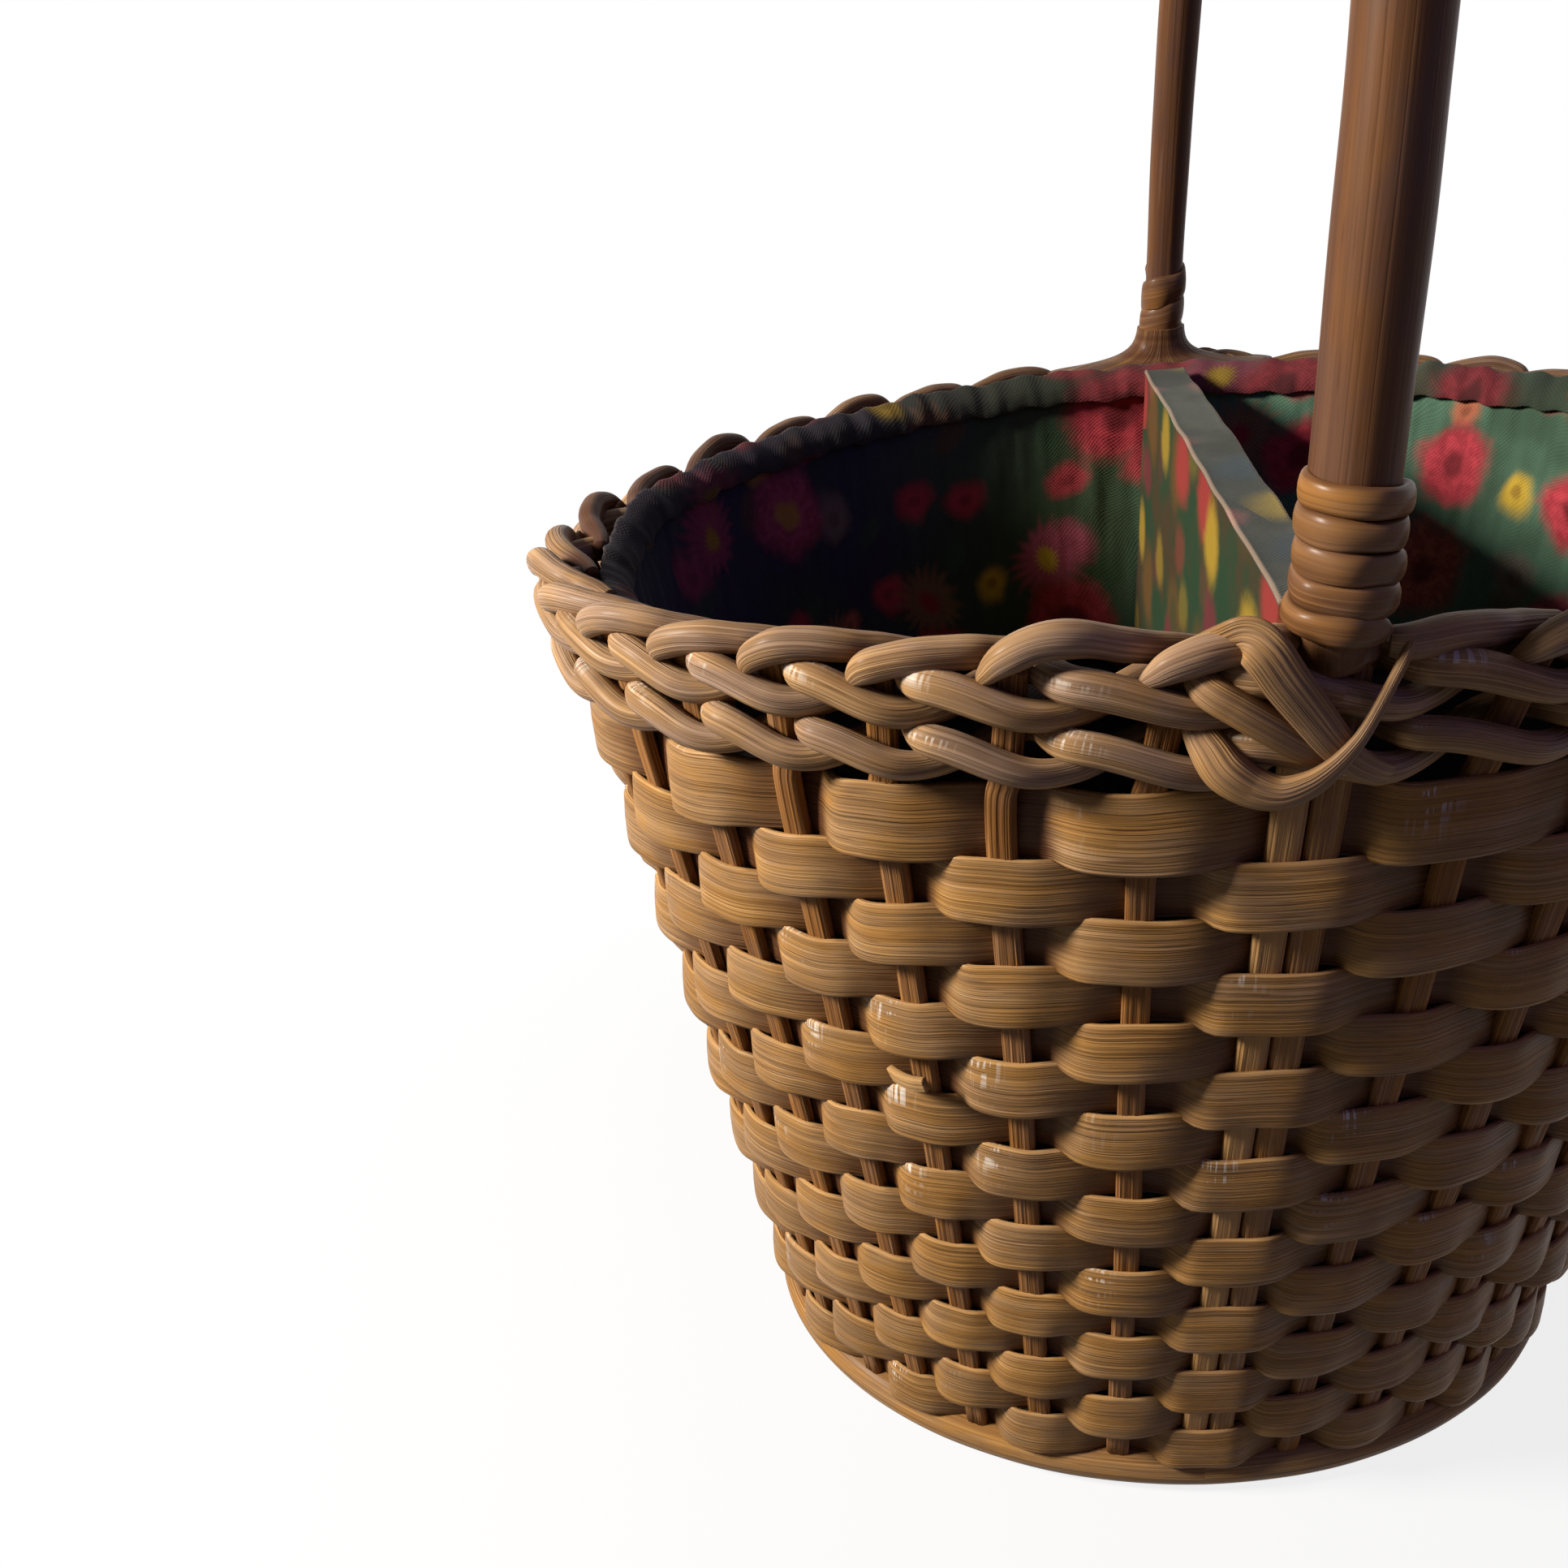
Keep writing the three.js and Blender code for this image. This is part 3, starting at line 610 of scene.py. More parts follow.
def strewn(made, flat, body, colours):
    """Large, middling and small blossoms and leaves over a ground colour."""
    rose, pink, yellow, salmon = colours.rose, colours.pink, colours.yellow, colours.salmon
    heart = dyed(rose, 0.16)
    leaf_place = made.join(flat[0] + flat[1] * 0.5, (flat[1] - flat[0] * 0.3) * 0.6)
    leaf, _, _, own = blossom(made, leaf_place, 0.0125, 0.0030, 2.0, 0.55, 3.7, 0.4)
    hue = made.tints(own, (0.0, (0.030, 0.070, 0.030)), (0.5, (0.100, 0.050, 0.022)),
                     (0.75, (0.040, 0.085, 0.040)))
    body = made.blend(leaf * 0.55, body, hue)
    place = made.join(*flat)
    small, small_heart, _, own = blossom(made, place, 0.0190, 0.0042, 5.0, 0.84, 1.3, 0.45, 0.03)
    hue = made.tints(own, (0.0, salmon), (0.24, yellow), (0.42, rose), (0.66, colours.chalk), (0.78, pink))
    body = made.blend(small * 0.9, body, hue)
    body = made.blend(small_heart * 0.4, body, heart)
    daisy, daisy_heart, _, own = blossom(made, place, 0.0290, 0.0066, 17.0, 0.42, 5.9, 0.40, 0.13)
    body = made.blend(daisy * 0.85, body, made.tints(own, (0.0, (0.210, 0.110, 0.055)), (0.5, pink)))
    body = made.blend(daisy_heart, body, made.tints(own, (0.0, dyed(rose, 0.6)), (0.5, yellow)))
    large, large_heart, reach, own = blossom(made, place, 0.0340, 0.0086, 5.0, 0.55, 8.6, 0.30, 0.05)
    hue = made.tints(own, (0.0, rose), (0.45, pink), (0.62, rose), (0.85, salmon))
    folds = made.between(made.noise(place, 420.0, 2.0) + reach * 0.2, 0.52, 0.72)
    body = made.blend(large, body, made.blend(folds * 0.45, hue, dyed(rose, 0.45)))
    return made.blend(large_heart * 0.75, body, made.tints(own, (0.0, heart), (0.45, yellow), (0.62, heart)))


def woven_cloth(made, flat, body):
    """Cloth's finish: a plain weave of fine threads, fluffy and almost without shine."""
    along, up = flat
    thread = (along * 7400.0).sine() * (up * 7400.0).sine()
    fluff = made.noise(made.join(along, up), 900.0, 2.0)
    body = made.blend(made.between(thread + fluff, 0.2, 1.4) * 0.06, body, (0.09, 0.09, 0.09))
    return made.finish(Base_Color=body, Roughness=0.9, Specular_IOR_Level=0.12, Sheen_Weight=0.03,
                       Sheen_Roughness=0.5, Normal=made.bump(thread * 0.5 + fluff, 0.35, 0.0002))


def print_finish(name, colours, around, hem_shade=0.0):
    """Printed cotton: a ground that drifts from moss through green to night blue round the basket, strewn
    with soft blossoms on the cloth's own lengths. The drift is partly the print's own colour and partly
    painted light: the lighter moss on the right is painted light, and the night blue and a further darkening
    on the left are painted shade. The last argument is the share of painted shade that darkens the whole
    cloth, for the hem. Where tone is one the cloth is painted near black, a painted shade behind the weave
    and under the hem, and where it is a half it is a frayed edge."""
    made = Bench(bpy.data.materials.new(name))
    along, up, _ = made.split(made.attribute("lay", "Vector"))
    tone = made.attribute("tone")
    warp = made.noise(made.join(along, up), 30.0, 2.0) * 0.012
    flat = (along + warp, up + warp)
    cloud = made.noise(made.join(*flat), 26.0, 3.0)
    turn = along / around
    # Painted shade: the ground turns night blue towards the left of the basket, partly the print's own dark
    # ground
    night = made.between(turn + cloud * 0.10, 0.575, 0.68)
    ground = made.blend(night, colours.cloth_green, colours.cloth_night)
    # Painted light: the ground turns a lighter moss on the right of the basket, partly its own colour
    ground = made.blend(made.between(turn, 0.515, 0.49), ground, colours.cloth_moss)
    ground = made.blend(made.between(cloud, 0.44, 0.60) * 0.6, ground, dyed(colours.cloth_green, 0.5))
    body = strewn(made, flat, ground, colours)
    # Painted shade: the cloth darkens further towards the left of the basket
    body = made.blend(made.between(turn, 0.55, 0.76) * 0.62, body, dyed(colours.cloth_night, 0.6))
    # Painted shade: the given share darkens the whole cloth, for the hem
    body = made.blend(hem_shade, body, (0.020, 0.014, 0.012))
    # Painted shade: where tone is high the cloth is painted near black, behind the weave and under the hem
    body = made.blend(made.between(tone, 0.70, 0.95), body, (0.010, 0.006, 0.006))
    frayed = made.between(made.grain(along * 900.0, up * 200.0, 0.0, 2.0), 0.42, 0.62)
    edge = made.between(tone, 0.30, 0.48) * made.between(tone, 0.70, 0.52)
    body = made.blend(edge * frayed * 0.6, body, (0.075, 0.060, 0.058))
    return woven_cloth(made, flat, body)


def divider_finish(colours):
    """Drawn out blossoms over the divider's green. Where tone is a half, on the top, there is a lighter grey
    green that is partly the cloth's own colour and partly painted light. Where tone is one there is a pale
    painted highlight along the seam."""
    made = Bench(bpy.data.materials.new("divider_cloth"))
    along, up, _ = made.split(made.attribute("lay", "Vector"))
    tone, place = made.attribute("tone"), made.join(along, up)
    cloud = made.noise(place, 40.0, 3.0)
    body = made.blend(made.between(cloud, 0.40, 0.62), (0.010, 0.031, 0.011), (0.038, 0.023, 0.008))
    layers = (
        (0.0250, 0.0058, 9.7, 0.75, (0.080, 0.039, 0.008)),
        (0.0190, 0.0050, 7.9, 0.60, (0.010, 0.030, 0.010)),
        (0.0170, 0.0040, 12.9, 0.65, (0.092, 0.017, 0.019)),
        (0.0220, 0.0048, 2.3, 0.55, (0.220, 0.026, 0.021)),
        (0.0230, 0.0048, 5.1, 0.60, dyed(colours.yellow, 0.54)),
    )
    for size, radius, shift, chance, hue in layers:
        drawn = made.join(along * 0.8, up * 0.85)
        stroke, _, _, own = blossom(made, drawn, size, radius, 2.3, chance, shift, 0.45, 0.10)
        body = made.blend(stroke * made.between(own, -0.2, 0.8), body, hue)
    # The top's lighter grey green is partly the cloth's own colour and partly painted light
    top = made.blend(made.between(cloud, 0.38, 0.56), colours.cloth_top, dyed(colours.cloth_top, 0.60))
    fleck, _, _, own = blossom(made, place, 0.021, 0.0060, 3.0, 0.75, 4.4, 0.5)
    hue = made.tints(own, (0.0, (0.30, 0.13, 0.12)), (0.5, (0.30, 0.22, 0.06)), (0.75, (0.05, 0.07, 0.08)))
    top = made.blend(fleck * 0.75, top, hue)
    body = made.blend(made.between(tone, 0.25, 0.45), body, top)
    # Painted highlight: the seam along the top's edges is pale
    body = made.blend(made.between(tone, 0.70, 0.95) * 0.6, body, (0.30, 0.21, 0.15))
    return woven_cloth(made, (along, up), body)


def board_finish():
    """Plywood: long streaks on the object's own coordinates, drawn out along X."""
    made = Bench(bpy.data.materials.new("board_plywood"))
    place = made.node("ShaderNodeTexCoord", output="Object")
    grain = made.noise(made.vector("MULTIPLY", place, (12.0, 160.0, 60.0)), 1.0, 4.0)
    body = made.blend(made.between(grain, 0.35, 0.7), (0.55, 0.36, 0.17), (0.36, 0.21, 0.09))
    return made.finish(Base_Color=body, Roughness=0.62, Normal=made.bump(grain, 0.2, 0.0003))


# Operators, one for each group of like pieces

SUNK = 0.0015  # how far the stakes' feet are sunk in the foot rod

# How much higher or lower the border's arcs stand in millimetres, from the near foot to the right
ARC_RISE = (0.0, 0.3, -0.4, 0.6, -0.2, 0.5, -0.6, 0.2, 0.4, -0.5, 0.3, 0.0, -0.4, 0.5, -0.3, 0.2, 0.4,
            0.0, 0.3, -0.5, 0.6, -0.4, 1.0, -0.6, 0.8, -0.3, 0.9, -0.5, 0.2, -0.3, 0.4, -0.7, 2.0, 0.3)

# One arc: place from its stake, then in millimetres level under the crest, the same at the far side,
# distance out and half width
ARC = (
    (-0.06, -6.6, -6.8, 2.2, 0.5), (0.02, -5.0, -5.2, 3.3, 1.55), (0.14, -3.3, -4.0, 3.7, 2.25),
    (0.36, -2.1, -3.4, 3.1, 2.4), (0.60, -2.0, -3.6, 1.9, 2.35), (0.84, -2.8, -4.2, 0.1, 2.2),
    (1.04, -4.0, -4.9, -2.2, 2.05), (1.24, -5.0, -5.5, -4.0, 1.85), (1.42, -5.6, -6.0, -4.8, 1.6),
)

# Strands of a lashing: place from the foot, then in millimetres level under the crest, distance out, half
# width and half depth
LASHING = {
    "over": (
        (-0.76, -3.4, -0.4, 1.6, 0.9), (-0.62, -1.0, 2.4, 2.4, 0.9), (-0.52, 0.5, 4.8, 2.9, 0.9),
        (-0.43, -0.6, 6.6, 3.0, 0.9), (-0.31, -4.4, 7.2, 2.9, 0.9), (-0.17, -8.6, 7.3, 2.7, 0.9),
        (-0.03, -12.8, 7.3, 2.4, 0.9), (0.10, -16.0, 6.9, 2.1, 0.9), (0.29, -19.2, 5.2, 1.9, 0.9),
        (0.46, -21.2, 1.6, 1.5, 0.9),
    ),
    "under": (
        (-0.76, -12.0, 1.2, 1.6, 1.5), (-0.67, -14.4, 4.0, 2.5, 2.1), (-0.57, -17.0, 6.0, 2.9, 2.3),
        (-0.42, -19.2, 6.8, 2.7, 2.1), (-0.27, -19.8, 7.6, 2.3, 1.7), (-0.13, -18.2, 8.4, 1.9, 1.2),
        (-0.02, -15.6, 8.8, 1.4, 0.9), (0.07, -12.6, 8.7, 1.0, 0.8), (0.13, -10.2, 8.2, 0.85, 0.7),
        (0.20, -6.8, 7.2, 0.75, 0.7), (0.27, -3.0, 6.2, 0.7, 0.7), (0.34, -1.0, 4.0, 0.65, 0.7),
    ),
    "middle": (
        (-0.78, -5.4, 1.6, 1.5, 1.4), (-0.68, -6.6, 4.4, 2.2, 1.9), (-0.54, -8.4, 5.4, 2.3, 1.9),
        (-0.37, -10.9, 5.8, 2.3, 1.8), (-0.21, -13.4, 5.9, 2.2, 1.6), (-0.06, -15.4, 5.8, 2.0, 1.4),
        (0.08, -17.2, 5.2, 1.7, 1.2), (0.20, -18.6, 3.4, 1.3, 1.0),
    ),
}
FAR_LASH_TOP = -3.4  # highest level of the strand over the far foot

# Reed's cut end on the near wall: place, then in millimetres level, distance out and half width
CUT_END = (
    (-3.34, 112.6, 1.8, 1.6), (-3.16, 113.6, 3.6, 1.5), (-3.00, 114.3, 4.6, 1.4), (-2.86, 114.8, 4.8, 1.3),
)

# Whittled foot of the handle: height over the twining, then half its width as a share of the tail's width and
# half its depth as a share of the post's radius
TAIL = ((-0.012, 0.42, 0.26), (0.0, 0.45, 0.30), (0.0026, 0.52, 0.66))

# Hem's profile: level under the crest and distance inwards in millimetres, share of the creases and tone. A
# tone near a half is a frayed edge, and a tone of one is painted near black, painted shade on the hem's side
# toward the weave.
LIP = (
    (-9.2, 0.9, 1.0, 0.0), (-8.0, 1.0, 1.0, 0.0), (-6.2, 0.5, 1.0, 0.0), (-4.7, -0.7, 1.0, 0.0),
    (-3.6, -2.1, 1.0, 0.1), (-3.0, -3.2, 1.0, 0.5), (-3.2, -3.6, 1.0, 0.5), (-3.9, -3.2, 0.8, 0.6),
    (-4.7, -2.2, 0.9, 1.0), (-5.4, -1.3, 0.9, 1.0), (-6.1, -0.3, 0.6, 1.0), (-7.6, 0.05, 0.3, 1.0),
    (-9.2, 0.1, 0.5, 0.6),
)


class BasketOperator:
    bl_options = {"REGISTER", "UNDO"}


class BASKET_OT_foot(BasketOperator, bpy.types.Operator):
    """Thick cane rod round the foot, and the board inside it"""

    bl_idname = "basket.foot"
    bl_label = "Foot rod and board"

    def execute(self, context):
        basket = Basket(context.scene)
        radius, colours = basket.cane.rod_radius, basket.colours
        places = np.linspace(0, basket.stakes, 408, endpoint=False)
        angle = basket.angle(places)
        path = basket.line(angle, 0.0)
        path[:, 2] = radius
        x, y = outline = section(20)
        swell = radius * (1 + wobble(places * 0.9, 3.0, 0.018))
        # Painted shade on the rod's inner half and on its upper side, under the wall
        tone = 0.02 + 0.30 * smooth_step(0.2 - y) + 0.25 * smooth_step((x - 0.35) / 0.6)
        finish = cane_finish("foot_rod_finish", colours.reed_light, colours.foot_mid, 0.6, relief=0.3)
        strand("foot_rod_cane", path, basket.level_out(angle), (swell, swell), (radius, radius),
               outline, tone, 4.0, (finish, "foot_cane"), ["foot_rod"], ring=True)
        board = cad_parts["base_board"]
        board.data.materials.clear()
        board.data.materials.append(board_finish())
        return {"FINISHED"}


class BASKET_OT_stakes(BasketOperator, bpy.types.Operator):
    """Grooved stakes, leaning to the right where they bend over"""

    bl_idname = "basket.stakes"
    bl_label = "Stakes"

    def execute(self, context):
        basket = Basket(context.scene)
        cane, colours, height = basket.cane, basket.colours, basket.height
        finish = cane_finish("stake_finish", colours.stake_light, colours.stake_mid, 0.8, 0.50, 0.03)
        outline, ribs, groove_shade = grooved(0.62)
        half, deep = cane.stake_width / 2, cane.stake_depth / 2
        low = basket.foot_top - SUNK
        steps = [[0.0, low + (height - 0.030 - low) * t, 0.0] for t in np.linspace(0, 1, 5)]
        steps += [[0.05, height - 0.022, 0.0], [0.11, height - 0.013, 0.0003],
                  [0.15, height - 0.0062, 0.0010], [0.17, height - 0.0042, 0.0016]]
        right, level, out = spline(steps, 60).T
        for stake in range(basket.stakes):
            if basket.is_foot(stake):
                continue
            place = stake + right + wobble(level * 26 + stake, 3.0, 0.012)
            wide = half * (1 + wobble(stake * 1.3 + level * 30, 5.0, 0.06))
            # Painted shade in the grooves, with a random variation of the cane's own tone
            tone = 0.06 + 0.46 * groove_shade + wobble(level * 55 + stake, 2.0, 0.12)[:, None]
            name = f"stake_{stake:02d}"
            strand(f"{name}_cane", *basket.laid(place, level, out), (wide, deep), (half, deep), outline, tone,
                   stake * 0.73, (finish, "stake_cane"), [name], ribs)
        return {"FINISHED"}


class BASKET_OT_border(BasketOperator, bpy.types.Operator):
    """Arcs of the border, the bent tops of the stakes, each going behind the next one"""

    bl_idname = "basket.border"
    bl_label = "Border"

    def arc(self, basket, stake):
        """Steps of one arc: lower on the far side, raised about its crest by a bell curve, and cut short
        beside the handle's feet."""
        back = float(basket.backward(stake))
        rise = ARC_RISE[stake % len(ARC_RISE)]
        steps = [[place, level + back * (far_level - level) + rise * bell((place - 0.42) / 0.4), out, half]
                 for place, level, far_level, out, half in ARC]
        if basket.is_foot(stake + 1):
            steps = [step for step in steps if step[0] < 0.7] + [[0.74, -2.4, 0.4, 2.1]]
        if basket.is_foot(stake):
            radius = basket.handle.near_radius if stake == 0 else basket.handle.far_radius
            start = (radius + basket.cane.gap) / basket.pitch(stake, basket.height)
            steps = [[start, -2.2, 2.4, 1.9]] + [step for step in steps if step[0] > start + 0.1]
        return steps

    def execute(self, context):
        basket = Basket(context.scene)
        finish = cane_finish("border_finish", basket.colours.cane_light, basket.colours.cane_mid, 0.9)
        x, _ = outline = section(22, 0.9)
        ribs = ribbed(outline, 9, 0.035)
        shaded_stake, shaded_reach = 23.5, 3
        for stake in range(basket.stakes):
            steps = self.arc(basket, stake)
            right, level, out, half = spline(steps, 18 * len(steps)).T
            place, level = stake + right, basket.height + level * MM
            path, outward = basket.laid(place, level, out * MM)
            run = run_length(path)
            half = np.maximum(half, 0.3) * MM * (1 + wobble(run * 210 + stake, 3.0, 0.05))
            # Painted shade: the arcs on the far side are darker, most of all round the far left
            back = basket.backward(stake) * (0.60 + 0.40 * bell((stake - shaded_stake) / shaded_reach))
            # Painted shade on the undersides of the arcs and a painted highlight on their upper sides
            below, painted_lighting = smooth_step((-x - 0.15) / 0.8), smooth_step((x - 0.4) / 0.5)
            # Painted shade where each arc's end goes behind the next stake, with a random variation of the
            # cane's own tone
            tail = 0.65 * smooth_step((right - 0.86) / 0.35) + wobble(run * 130 + stake, 1.0, 0.10)
            tone = 0.45 * below - 0.16 * painted_lighting + back + tail[:, None]
            foot = basket.is_foot(stake)
            name = f"border_filler_{stake:02d}" if foot else f"border_arc_{stake:02d}"
            strand(f"{name}_cane", path, outward, (half, half * 0.96), (0.0022, 0.0022), outline, tone,
                   60 + stake * 0.61, (finish, "stake_cane"), [name] if foot else [], ribs, -0.4)
        return {"FINISHED"}


class BASKET_OT_reed(BasketOperator, bpy.types.Operator):
    """Flat reed woven over one stake and under the next"""

    bl_idname = "basket.reed"
    bl_label = "Flat reed"

    def execute(self, context):
        basket = Basket(context.scene)
        cane, colours, stakes = basket.cane, basket.colours, basket.stakes
        finish = cane_finish("reed_finish", colours.reed_light, colours.reed_mid, relief=0.6, glint=0.9)
        look = (finish, "reed")
        x, y = outline = section(16, 0.30)
        dome = y * (1 + 0.30 * (1 - x * x))
        rim = smooth_step((x - 0.90) / 0.08)
        half, deep = cane.reed_width / 2, cane.reed_thick / 2
        offset = cane.stake_depth / 2 + cane.gap + deep
        start_place, rounds = int(stakes * 0.58), 4
        for part in range(cane.rows // rounds):
            first = part * rounds
            n = np.linspace(-0.35, rounds * stakes - 0.65, rounds * stakes * 16)
            place = n + start_place
            lap = np.clip(np.floor(n / stakes), 0, rounds - 1)
            rest = n - lap * stakes
            step = first + (stakes - 1) * lap + np.minimum(rest, stakes - 1) - 1
            stiff = 1.15 + 2.6 * bell(basket.foot_distance(place) / 0.55)
            wave = woven(step, stiff, 0.5, 0.15)
            row = first + lap + smooth_step((rest - stakes + 0.85) / 0.7)
            top_row = smooth_step(row - cane.rows + 2)
            sag = wobble(n * 1.9, 1.0 + part, 0.00035) - 0.00035 * (1 - wave)
            level = cane.first_row + row * cane.row_pitch + 0.0008 * top_row + sag
            swell = 1 + wobble(n * 0.8, 3.0 + part, 0.10)
            tilt = 0.17 + 0.05 * wave + wobble(n * 2.7, 6.0 + part, 0.05)
            wide = half * (1 + wobble(n * 1.1, 8.0 + part, 0.035)) * (1 + 0.15 * top_row)
            # Painted shade: the reed darkens where it passes behind the stakes, in a band just right of each
            # stake where a stake's shadow would fall, and on the right-hand slope of each bend
            behind = bell((step % 2 - 1.24) / 0.17)
            lee_shade = np.clip(np.sin(np.pi * step), 0, 1)
            recess_shade = np.clip((0.40 - wave) * 0.46 + 0.45 * behind + 0.34 * lee_shade, 0, 0.92)[:, None]
            # Painted highlight along the upper edge where the reed is outside, painted shade along its lower
            # edge, and a random variation of its own tone
            painted_lighting = 0.42 * rim * (1 - recess_shade)
            tone = recess_shade + 0.30 * (x < -0.97) - painted_lighting + wobble(n * 3.3, 2.0 + part, 0.07)[:, None]
            # Painted glints on the left shoulders of some bends
            sparkle = glitter(step, -0.30, 0.13, part, 0.34)[:, None] * smooth_step((x + 0.2) / 0.6)
            name = f"reed_length_{part + 1:02d}"
            path, outward = basket.laid(place, level, wave * offset * swell + 0.0003)
            strand(f"{name}_strip", path, outward + UP * tilt[:, None], (wide, deep), (half, deep), outline,
                   tone, 1.0 + part, look, [name], dome, -0.5, glint=sparkle)
        place, level, out, end_half = spline(CUT_END, 24).T * np.array([[1, MM, MM, MM]]).T
        strand("reed_cut_end", *basket.laid(place, level, out), (end_half, deep), (0.002, deep), outline,
               -0.45, 5.5, look, least=-0.5)
        return {"FINISHED"}


class BASKET_OT_twine(BasketOperator, bpy.types.Operator):
    """Two rows of twined cane under the border"""

    bl_idname = "basket.twine"
    bl_label = "Twined cane"

    def execute(self, context):
        basket = Basket(context.scene)
        cane, colours, radius = basket.cane, basket.colours, basket.cane.cane_radius
        finish = cane_finish("twine_finish", colours.cane_light, colours.cane_mid, 0.9, glint=0.6)
        x, _ = outline = section(20, 0.92)
        ribs = ribbed(outline, 7, 0.05)
        # Painted shade on the strands' undersides and a painted highlight on their upper sides
        below, painted_lighting = smooth_step((-x - 0.2) / 0.8), smooth_step((x - 0.3) / 0.6)
        places = np.linspace(0, basket.stakes, basket.stakes * 20, endpoint=False)
        turns = places * TAU / basket.stakes
        stiff = 1.7 + 2.0 * bell(basket.foot_distance(places) / 0.5)
        for r, row in enumerate(("low", "high")):
            for phase, letter in enumerate(("a", "b")):
                step = places + phase + r
                turn = np.pi * step
                wave = woven(step, stiff, 0.5, 0.35)
                level = cane.twine_first + r * cane.twine_pitch - cane.twist_rise * np.sin(turn)
                level = level + wobble(turns * 5, 3.0 + r, 0.0003)
                bulge = 1 + 0.07 * np.cos(turn + 0.9) + wobble(turns * 7, phase + 2.0 * r, 0.06)
                thick = radius * bulge * (0.97 + 0.07 * r)
                out = wave * (cane.stake_depth / 2 + cane.gap + radius)
                path, outward = basket.laid(places, level, out * (1 + wobble(turns * 3, 5.0 + phase, 0.05)))
                # Painted shade where a strand passes inside a stake, with a random variation of its own tone
                tone = np.clip((0.15 - wave) * 0.55, 0, 0.75) + wobble(turns * 31, 1.0, 0.10)
                tone = tone[:, None] + 0.30 * below - 0.14 * painted_lighting
                # Painted glints beside some stakes, on the strands' upper sides
                sparkle = glitter(step, -0.45, 0.16, 3 + r + 2 * phase, 0.6)[:, None]
                name = f"twine_{row}_{letter}"
                strand(f"{name}_cane", path, outward, (thick, thick * 0.96), (radius, radius), outline, tone,
                       9.0 + phase + 2 * r, (finish, "wound_cane"), [name], ribs, -0.4, ring=True,
                       glint=sparkle * smooth_step((x - 0.1) / 0.5))
        return {"FINISHED"}


class BASKET_OT_handle(BasketOperator, bpy.types.Operator):
    """Arched cane handle, with the double stakes that its whittled ends make"""

    bl_idname = "basket.handle"
    bl_label = "Handle"

    def tail(self, basket, place, radius):
        """Stations up a whittled foot: point, outward direction, half width and half depth."""
        stations = []
        for rise, width, deep in TAIL:
            level = basket.cane.twine_top + rise
            half = basket.handle.tail_width * width if rise <= 0 else radius
            stations.append([*basket.beside(place, level), *basket.normal(place, level), half, radius * deep])
        return stations

    def execute(self, context):
        basket = Basket(context.scene)
        handle, colours, count = basket.handle, basket.colours, 420
        centre, out, radius = Arch(basket).at(np.linspace(0, 1, 25))
        arc = np.hstack([centre, out, radius[:, None], radius[:, None]])
        near = self.tail(basket, 0.0, handle.near_radius)
        far = self.tail(basket, basket.far, handle.far_radius)
        values = spline(np.vstack([near, arc, far[::-1]]), count)
        run = np.linspace(0, 40, count)
        values[:, 0] += wobble(run * 0.32, 2.0, 0.0007) * np.sin(np.linspace(0, np.pi, count))
        half, deep = values[:, 6:].T * (1 + wobble(run, 4.0, 0.025))
        tone = 0.12 + wobble(run * 1.7, 7.0, 0.14)[:, None]
        finish = cane_finish("handle_finish", colours.handle_light, colours.handle_mid, 0.35, relief=0.18,
                             lines=0.35)
        strand("handle_cane", values[:, :3], values[:, 3:6], (half, deep), (handle.near_radius,) * 2,
               section(24), tone, 21.0, (finish, "handle_cane"), ["handle"])

        # The double stakes take lighter colours than the other stakes: painted light
        finish = cane_finish("double_stake_finish", colours.reed_light, colours.stake_light, 0.8, 0.50, 0.03)
        outline, ribs, groove_shade = grooved(0.55)
        levels = np.linspace(basket.foot_top - SUNK, basket.cane.twine_top + 0.004, 60)
        slit = 0.0002
        half, deep = handle.tail_width / 4 - slit, basket.cane.stake_depth / 2
        for name, place in (("near", 0.0), ("far", basket.far)):
            for side, sign in (("left", -1), ("right", 1)):
                spots = place + sign * (half + slit) / basket.pitch(place, levels)
                # Painted light and shade: the left half of each double stake is lighter and the right half
                # darker, and the grooves are painted shade, with a random variation of its own tone
                tone = 0.30 * sign - 0.14 + 0.40 * groove_shade + wobble(levels * 55 + sign, 2.0, 0.12)[:, None]
                strand(f"foot_stake_{name}_{side}", *basket.laid(spots, levels), (half, deep), (half, 0.0015),
                       outline, tone, 30.0 + place + sign, (finish, "stake_cane"), [], ribs, -0.5)
        return {"FINISHED"}


